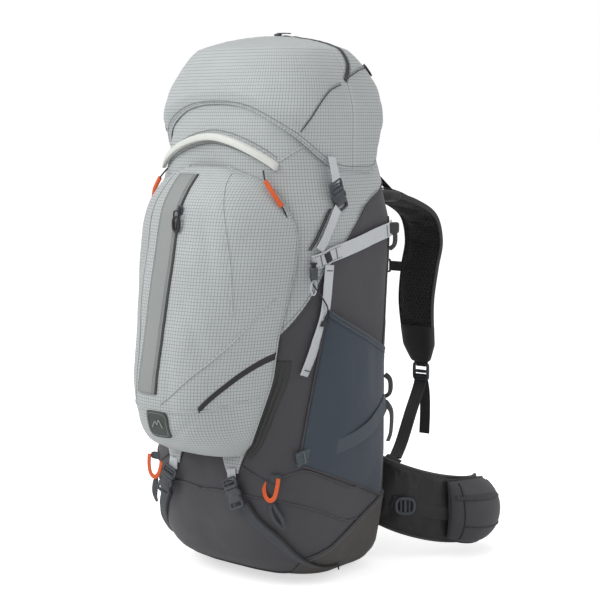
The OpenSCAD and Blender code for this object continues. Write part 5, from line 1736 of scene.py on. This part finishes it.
@dataclass
class Harness(Maker):
    """Back and lumbar pads, shoulder straps, sternum strap, haul loop and hip belt."""

    strap_route: tuple = ((6, 0), (48, 2), (96, -10), (138, -32), (152, -70), (142, -110), (134, -160), (140, -215),
                          (148, -254))
    wing_route: tuple = ((2, 0), (34, 14), (66, 44), (84, 84), (86, 124), (68, 164))

    def back_pads(self) -> None:
        """Back panel: two long pads with a channel between them, and the lumbar pad, all over mesh cloth."""
        low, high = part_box("back_panel")
        z0, z1, half = low.z / MM, high.z / MM, high.x / MM
        for sign in (1, -1):
            z = np.linspace(z0 + 6, z1 - 6, 60)
            x = sign * (half * .53 + 0 * z)
            path = self.shape.back(x, z, 7.2)
            out = unit(self.shape.back(x, z, 8) - self.shape.back(x, z, 7))
            pad = pad_loft(path, np.broadcast_to([1.0, 0, 0], path.shape), out,
                           half * .44 - 5 * (z - z0) / (z1 - z0) * 2, 4.2 + 0 * z)
            name = "right" if sign > 0 else "left"
            made = piece(f"back_pad_{name}", pad, SPACER, "pack", ["back_panel"])
            puff(made, lambda p: (p[:, 1] < path[:, 1].min() - 1)
                 | (np.abs(np.abs(p[:, 0]) - half * .53) > half * .40), 5)
        z = np.linspace(z0 - 4, z1 + 4, 60)
        path = self.shape.back(0 * z, z, 2.2)
        base = pad_loft(path, np.broadcast_to([1.0, 0, 0], path.shape), np.broadcast_to([0, 1.0, 0], path.shape),
                        half + 3 + 0 * z, 1.4 + 0 * z)
        piece("back_cloth", base, SMOOTH_BLACK, "pack")
        low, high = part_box("lumbar_pad")
        z = np.linspace(low.z / MM + 5, high.z / MM - 5, 34)
        half = high.x / MM
        path = self.shape.back(0 * z, z, 13)
        pad = pad_loft(path, np.broadcast_to([1.0, 0, 0], path.shape), np.broadcast_to([0, 1.0, 0], path.shape),
                       half - 6 + 0 * z, 9.5 + 0 * z, 40)
        made = piece("lumbar_cushion", pad, SPACER, "pack", ["lumbar_pad"])
        puff(made, lambda p: (np.abs(p[:, 0]) > half - 12) | (np.abs(np.abs(p[:, 0]) - 20) < 3), 6)

    def strap_path(self, count: int) -> Array:
        """The right shoulder strap's middle line, from the yoke."""
        yoke = joint_at("shoulder_right_hinge")
        low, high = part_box("shoulder_pad_right")
        x = (low.x + high.x) / 2 / MM
        return spline([(x, yoke[1] + b, yoke[2] + u) for b, u in self.strap_route], count)

    def shoulders(self) -> None:
        """Shoulder straps of spacer mesh with bound edges and smooth ends; webbing, adjusters and load lifters."""
        path = self.strap_path(100)
        s = np.linspace(0, 1, 100)
        across, out = frames(path, np.cross([1.0, 0, 0], np.gradient(path, axis=0)))
        across = np.broadcast_to([1.0, 0, 0], path.shape)
        out = unit(np.cross(np.gradient(path, axis=0), across))
        ends = np.minimum(1, np.minimum(s, 1 - s) * 8 + .4) ** .6
        half = 32 * (.74 + .26 * np.sin(np.pi * s)) * ends
        pad = pad_loft(path, across, out, half, 5.4 * ends + .6)
        made = piece("strap_pad_right", pad, SPACER, "shoulder_right", ["shoulder_pad_right"])
        x = path[0, 0]
        puff(made, lambda p: np.abs(p[:, 0] - x) > np.interp(p[:, 2], path[::-1, 2], half[::-1]) * .93, 6)
        twin(made, "strap_pad_left", "shoulder_left", ["shoulder_pad_left"])
        edge = Patchwork()
        for side in (-1, 1):
            edge.join(webbing(path[2:-2] + across[2:-2] * (half[2:-2] * side)[:, None], across[2:-2] * side, 8, 2.4))
        cap = slice(84, 99)
        smooth = pad_loft(path[cap], across[cap], out[cap], half[cap] + 2.2, 9.5 * ends[cap])
        top = pad_loft(path[2:14], across[2:14], out[2:14], half[2:14] + 2, 8.6 * ends[2:14])
        spine, up = path[8:86] + out[8:86] * -10.5, -out[8:86]
        daisy = webbing(spine, up, 15, 1.6)
        for label, patch, finish in (("strap_edge", edge, SMOOTH_BLACK), ("strap_end", smooth, SMOOTH_BLACK),
                                     ("strap_yoke", top, SMOOTH_BLACK), ("strap_daisy", daisy, DARK_WEB)):
            made = piece(f"{label}_right", patch, finish, "shoulder_right")
            twin(made, f"{label}_left", "shoulder_left", pad=False)
        low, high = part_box("strap_adjuster_right")
        c = np.array((low + high) / 2) / MM
        lock = frame_bar((-12.6, 12.6, -12.4, 12.4), 6,
                         2.2).join(pebble((0, 0, 0), (12, 2.6, 2.4), 4)).join(pebble((0, -1, -8), (12, 1.8, 1.5), 4))
        lock.turned(Matrix.Translation(Vector(c)))
        made = piece("ladder_lock_right", lock, MOULDED, "shoulder_right", ["strap_adjuster_right"])
        twin(made, "ladder_lock_left", "shoulder_left", ["strap_adjuster_left"], False)
        tab = piece("lock_tab_right",
                    webbing(spline([path[-4], path[-1] + [0, 0, -6], c + [0, 0, 8]], 20), np.array([0, 1.0, 0]), 18,
                            2), DARK_WEB, "shoulder_right")
        twin(tab, "lock_tab_left", "shoulder_left", pad=False)
        end = path[-1]
        route = spline([c + [0, -2, -4], end + [0, -3, -34], end + [10, -40, -72], end + [20, -76, -110],
                        end + [30, -106, -128]], 60)
        normal = unit(np.cross(np.gradient(route, axis=0), [1, .25, 0]))
        loose = spline([c + [0, 2, -5], c + [2, 7, -30], c + [4, 6, -62], c + [5, 3, -96]], 40)
        for name, sign in SIDES:
            flip = (lambda p: p) if sign > 0 else (lambda p: p.mirrored())
            tail = piece(f"tail_web_{name}", flip(webbing(route, normal, 20, 1.8)), DARK_WEB, "pack",
                         [f"tail_webbing_{name}"])
            span(tail)
            piece(f"loose_end_{name}", flip(webbing(loose, np.array([0, 1.0, .1]), 19, 1.6)), DARK_WEB,
                  f"shoulder_{name}")
            root = self.shape.back(np.array(route[-1][0] - 8), np.array(route[-1][2] - 12), 3)
            wing = spline([route[-1] + [0, 0, 1], (route[-1] + root) / 2 + [2, 0, -3], root], 20)
            piece(f"tail_anchor_{name}", flip(webbing(wing, np.array([.3, 0, 1.0]), 26, 2.2)), DARK_WEB, "pack")
            lifter = spline([path[16] + out[16] * -9,
                             (path[16] + [x - 12, 112, 600]) / 2 + [0, 2, 3] - [x / 2, 0, 0] + [x / 2, 0, 0],
                             (x - 14, 117, 597)], 40)
            lift = piece(f"load_lifter_{name}", flip(webbing(lifter, np.array([0, .4, 1.0]), 13, 1.6)), DARK_WEB,
                         "pack")
            span(lift)

    def chest(self) -> None:
        """Sternum strap in two halves with its buckle and keepers."""
        low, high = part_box("sternum_strap")
        y, z, half = (low.y + high.y) / 2 / MM, (low.z + high.z) / 2 / MM, high.x / MM
        for name, sign in SIDES:
            path = np.array([(sign * v, y + .8 * np.sin(v / 12), z) for v in np.linspace(13, half - 7, 60)])
            web = webbing(path, np.array([0, 1.0, 0]), 15, 1.8)
            web.join(tube(spline([(sign * (half - 13), y - 1, z - 12), (sign * (half - 14), y - 1, z),
                                  (sign * (half - 13), y - 1, z + 12)], 20), 1.8, 8, (0, 1, 0)))
            piece(f"chest_web_{name}", web, DARK_WEB, "sternum", ["sternum_strap"])
        low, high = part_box("sternum_buckle")
        c = np.array((low + high) / 2) / MM
        socket, plug = buckle(20, 7)
        both = socket.join(plug).turned(Matrix.Translation(Vector(c + [-3, 0, 0]))
                                        @ Matrix.Rotation(np.radians(90), 4, "Y"))
        piece("chest_buckle", both, MOULDED, "sternum", ["sternum_buckle"])

    def haul(self) -> None:
        """The webbing loop that the pack is lifted by, with its padded grip and bar tacks."""
        low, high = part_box("haul_loop")
        y0, y1, z, half = low.y / MM + 3, high.y / MM - 3, (low.z + high.z) / 2 / MM, high.x / MM - 4
        route = spline([(-half, y0 + 1, z - 16), (-half, y0 + 2, z - 4), (-half, y0 + 14, z),
                        (-half * .65, y1 - 4, z + 4), (0, y1, z + 5),
                        (half * .65, y1 - 4, z + 4), (half, y0 + 14, z), (half, y0 + 2, z - 4),
                        (half, y0 + 1, z - 16)], 90)
        normal = unit(route - [0, y0 - 20, z - 2])
        patch = webbing(route, normal, 16, 2.2)
        piece("haul_web", patch, DARK_WEB, "pack", ["haul_loop"])
        piece("haul_grip", tube(route[30:61], 5.0, 14, (0, 0, 1), 1), SMOOTH_BLACK, "pack")

    def wing(self, count: int) -> tuple[Array, Array]:
        """The right wing's middle line and its outward directions."""
        hinge = joint_at("hip_right_hinge")
        path = spline([(hinge[0] + a, hinge[1] + b, 60) for a, b in self.wing_route], count)
        out = unit(np.cross(np.gradient(path, axis=0), [0, 0, 1.0]))
        s = np.linspace(0, 1, count)
        path[:, 2] += 42 * (1 - s) ** 2
        return path, out

    def belt(self) -> None:
        """Hip belt: puffed wings, zipped belt pockets with bound seams, stabiliser webbing, tail and buckles."""
        n = 80
        path, out = self.wing(n)
        s = np.linspace(0, 1, n)
        ends = np.minimum(1, (1 - s) * 8 + .35) ** .6
        half = (104 - 10 * s) / 2 * ends - 2
        up = np.broadcast_to([0, 0, 1.0], path.shape)
        wing = pad_loft(path, up, out, half, 6.2 * np.ones(n), 36)
        made = piece("belt_pad_right", wing, SMOOTH_BLACK, "hip_right", ["hip_wing_right"])
        mid = lambda p: np.interp(p[:, 1], path[:, 1], path[:, 2])
        puff(made, lambda p: (np.abs(p[:, 2] - mid(p)) > 43) | (np.abs(np.abs(p[:, 2] - mid(p)) - 16) < 1.6), 6)
        twin(made, "belt_pad_left", "hip_left", ["hip_wing_left"])
        edge = Patchwork()
        for side in (-1, 1):
            edge.join(tube(path[1:-1] + up[1:-1] * (side * (half[1:-1] + .6))[:, None], 2.4, 10, out[1:-1]))
        made = piece("belt_binding_right", edge, CHARCOAL, "hip_right")
        twin(made, "belt_binding_left", "hip_left", pad=False)
        u, v = np.meshgrid(np.linspace(0, 1, 60), np.linspace(0, 1, 50), indexing="ij")
        k = .5 + .475 * u
        read = lambda grid: np.stack([np.interp(k, s, grid[:, i]) for i in range(3)], -1)
        centre, side = read(path), read(out)
        full = np.sin(np.pi * np.clip(u * .985 + .008, 0, 1)) ** .42 * np.sin(np.pi * np.clip(v, .004, .996)) ** .5
        h = 50 - 4 * u
        pts = centre + side * (8.4 + 36 * full + 1.6 * noise(centre * 1.0 + v[..., None] * [0, 0, 90], 30, 71)
                               * full)[..., None]
        pts[..., 2] += (v - .5) * 2 * h * (.86 + .14 * np.sin(np.pi * u))
        tilt = 6 * (v - .5) * full
        pts += side * tilt[..., None] * -1
        made = piece("belt_bag_right", Patchwork().grid(pts, away=tuple(pts.mean((0, 1)) - side.mean((0, 1)) * 40)),
                     CHARCOAL, "hip_right",
                     ["belt_pocket_right"], 1.4, 0)
        twin_solid(made, "belt_bag_left", "hip_left", ["belt_pocket_left"], 1.4)
        line = pts[3:57, 37] + side[3:57, 37] * .8
        normal = side[3:57, 37] + [0, 0, .8]
        zipper = webbing(line, normal, 9, 1.4)
        made = piece("belt_zip_right", zipper, ZIP, "hip_right")
        twin(made, "belt_zip_left", "hip_left", pad=False)
        seams = Patchwork()
        for grid in (pts[8, 2:48], pts[46, 2:48], pts[8:47, 14]):
            seams.join(tube(grid + side[8, 10] * .2, 1.3, 8, side[8, 10]))
        seams.join(tube(np.concatenate([pts[:, 0], pts[-1, 1:], pts[::-1, -1], pts[0, ::-1]]), 1.6, 8, (0, 0, 1)))
        made = piece("belt_seams_right", seams, SMOOTH_BLACK, "hip_right")
        twin(made, "belt_seams_left", "hip_left", pad=False)
        strap = webbing((path + out * 9.0 - [0, 0, 6])[10:42], out[10:42], 18, 1.8)
        ladder = frame_bar((-13, 13, -11, 11), 3,
                           2.4).join(pebble((0, 0, 0), (2, 2.6, 10), 4)).join(pebble((-6, -.6, 0), (1.3, 2, 10),
                                                                                     4)).join(pebble((6, -.6, 0), (1.3, 2, 10), 4))
        at = path[17] + out[17] * 11 - [0, 0, 6]
        aim = Matrix(((-float(out[17][1]), -float(out[17][0]), 0, at[0]),
                      (float(out[17][0]), -float(out[17][1]), 0, at[1]), (0, 0, 1, at[2]), (0, 0, 0, 1)))
        made = piece("belt_ladder_right", ladder.turned(aim), MOULDED, "hip_right")
        twin(made, "belt_ladder_left", "hip_left", pad=False)
        made = piece("belt_stabiliser_right", strap, DARK_WEB, "hip_right")
        twin(made, "belt_stabiliser_left", "hip_left", pad=False)
        tip, z = path[-1], 60
        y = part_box("belt_buckle_female")[0].y / MM + 5
        route = spline([tip + [2, -4, 0], tip + [-4, 8, 0], (tip[0] - 26, tip[1] + 22, z), (tip[0] - 62, y, z),
                        (45, y, z), (34, y, z)], 60)
        normal = unit(np.cross(np.gradient(route, axis=0), [0, 0, 1.0]))
        made = piece("belt_tail_right", webbing(route, normal, 25, 1.8), DARK_WEB, "hip_right",
                     ["belt_webbing_right"])
        twin(made, "belt_tail_left", "hip_left", ["belt_webbing_left"], False)
        socket, plug = buckle(42, 10)
        turn = Matrix.Translation(Vector((6, y, z))) @ Matrix.Rotation(np.radians(-90), 4,
                                                                       "Y") @ Matrix.Diagonal((1, 1, 1.35, 1))
        piece("belt_socket", socket.turned(turn), MOULDED, "hip_right", ["belt_buckle_female"])
        piece("belt_plug", plug.turned(turn), MOULDED, "hip_left", ["belt_buckle_male"])

    def build(self) -> None:
        """Makes the whole harness."""
        for step in (self.back_pads, self.shoulders, self.chest, self.haul, self.belt):
            step()
            LOG.info("harness: %s", step.__name__)


def twin_solid(made: bpy.types.Object, name: str, body: str, replaces: Sequence[str],
               wall: float) -> bpy.types.Object:
    """The left copy of a piece that has a wall thickness."""
    copy = twin(made, name, body, replaces, False)
    for modifier in copy.modifiers:
        if modifier.type == "SOLIDIFY":
            modifier.thickness, modifier.offset = wall * MM, -1
    return copy


def main() -> None:
    """Builds the studio and every sub-assembly, in order, and reports each."""
    logging.basicConfig(level=logging.INFO, format="%(message)s")
    low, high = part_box("main_bag")
    shape = PackShape(height=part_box("lid_zip")[1].z / MM - 1.9, width=(high.x - low.x) / MM)
    studio = Studio()
    studio.camera()
    Bag(shape).build()
    Front(shape).build()
    for name, sign in SIDES:
        Flank(shape, name, sign).build()
    Lid(shape).build()
    Harness(shape).build()
    studio.build()


if __name__ == "__main__":
    main()
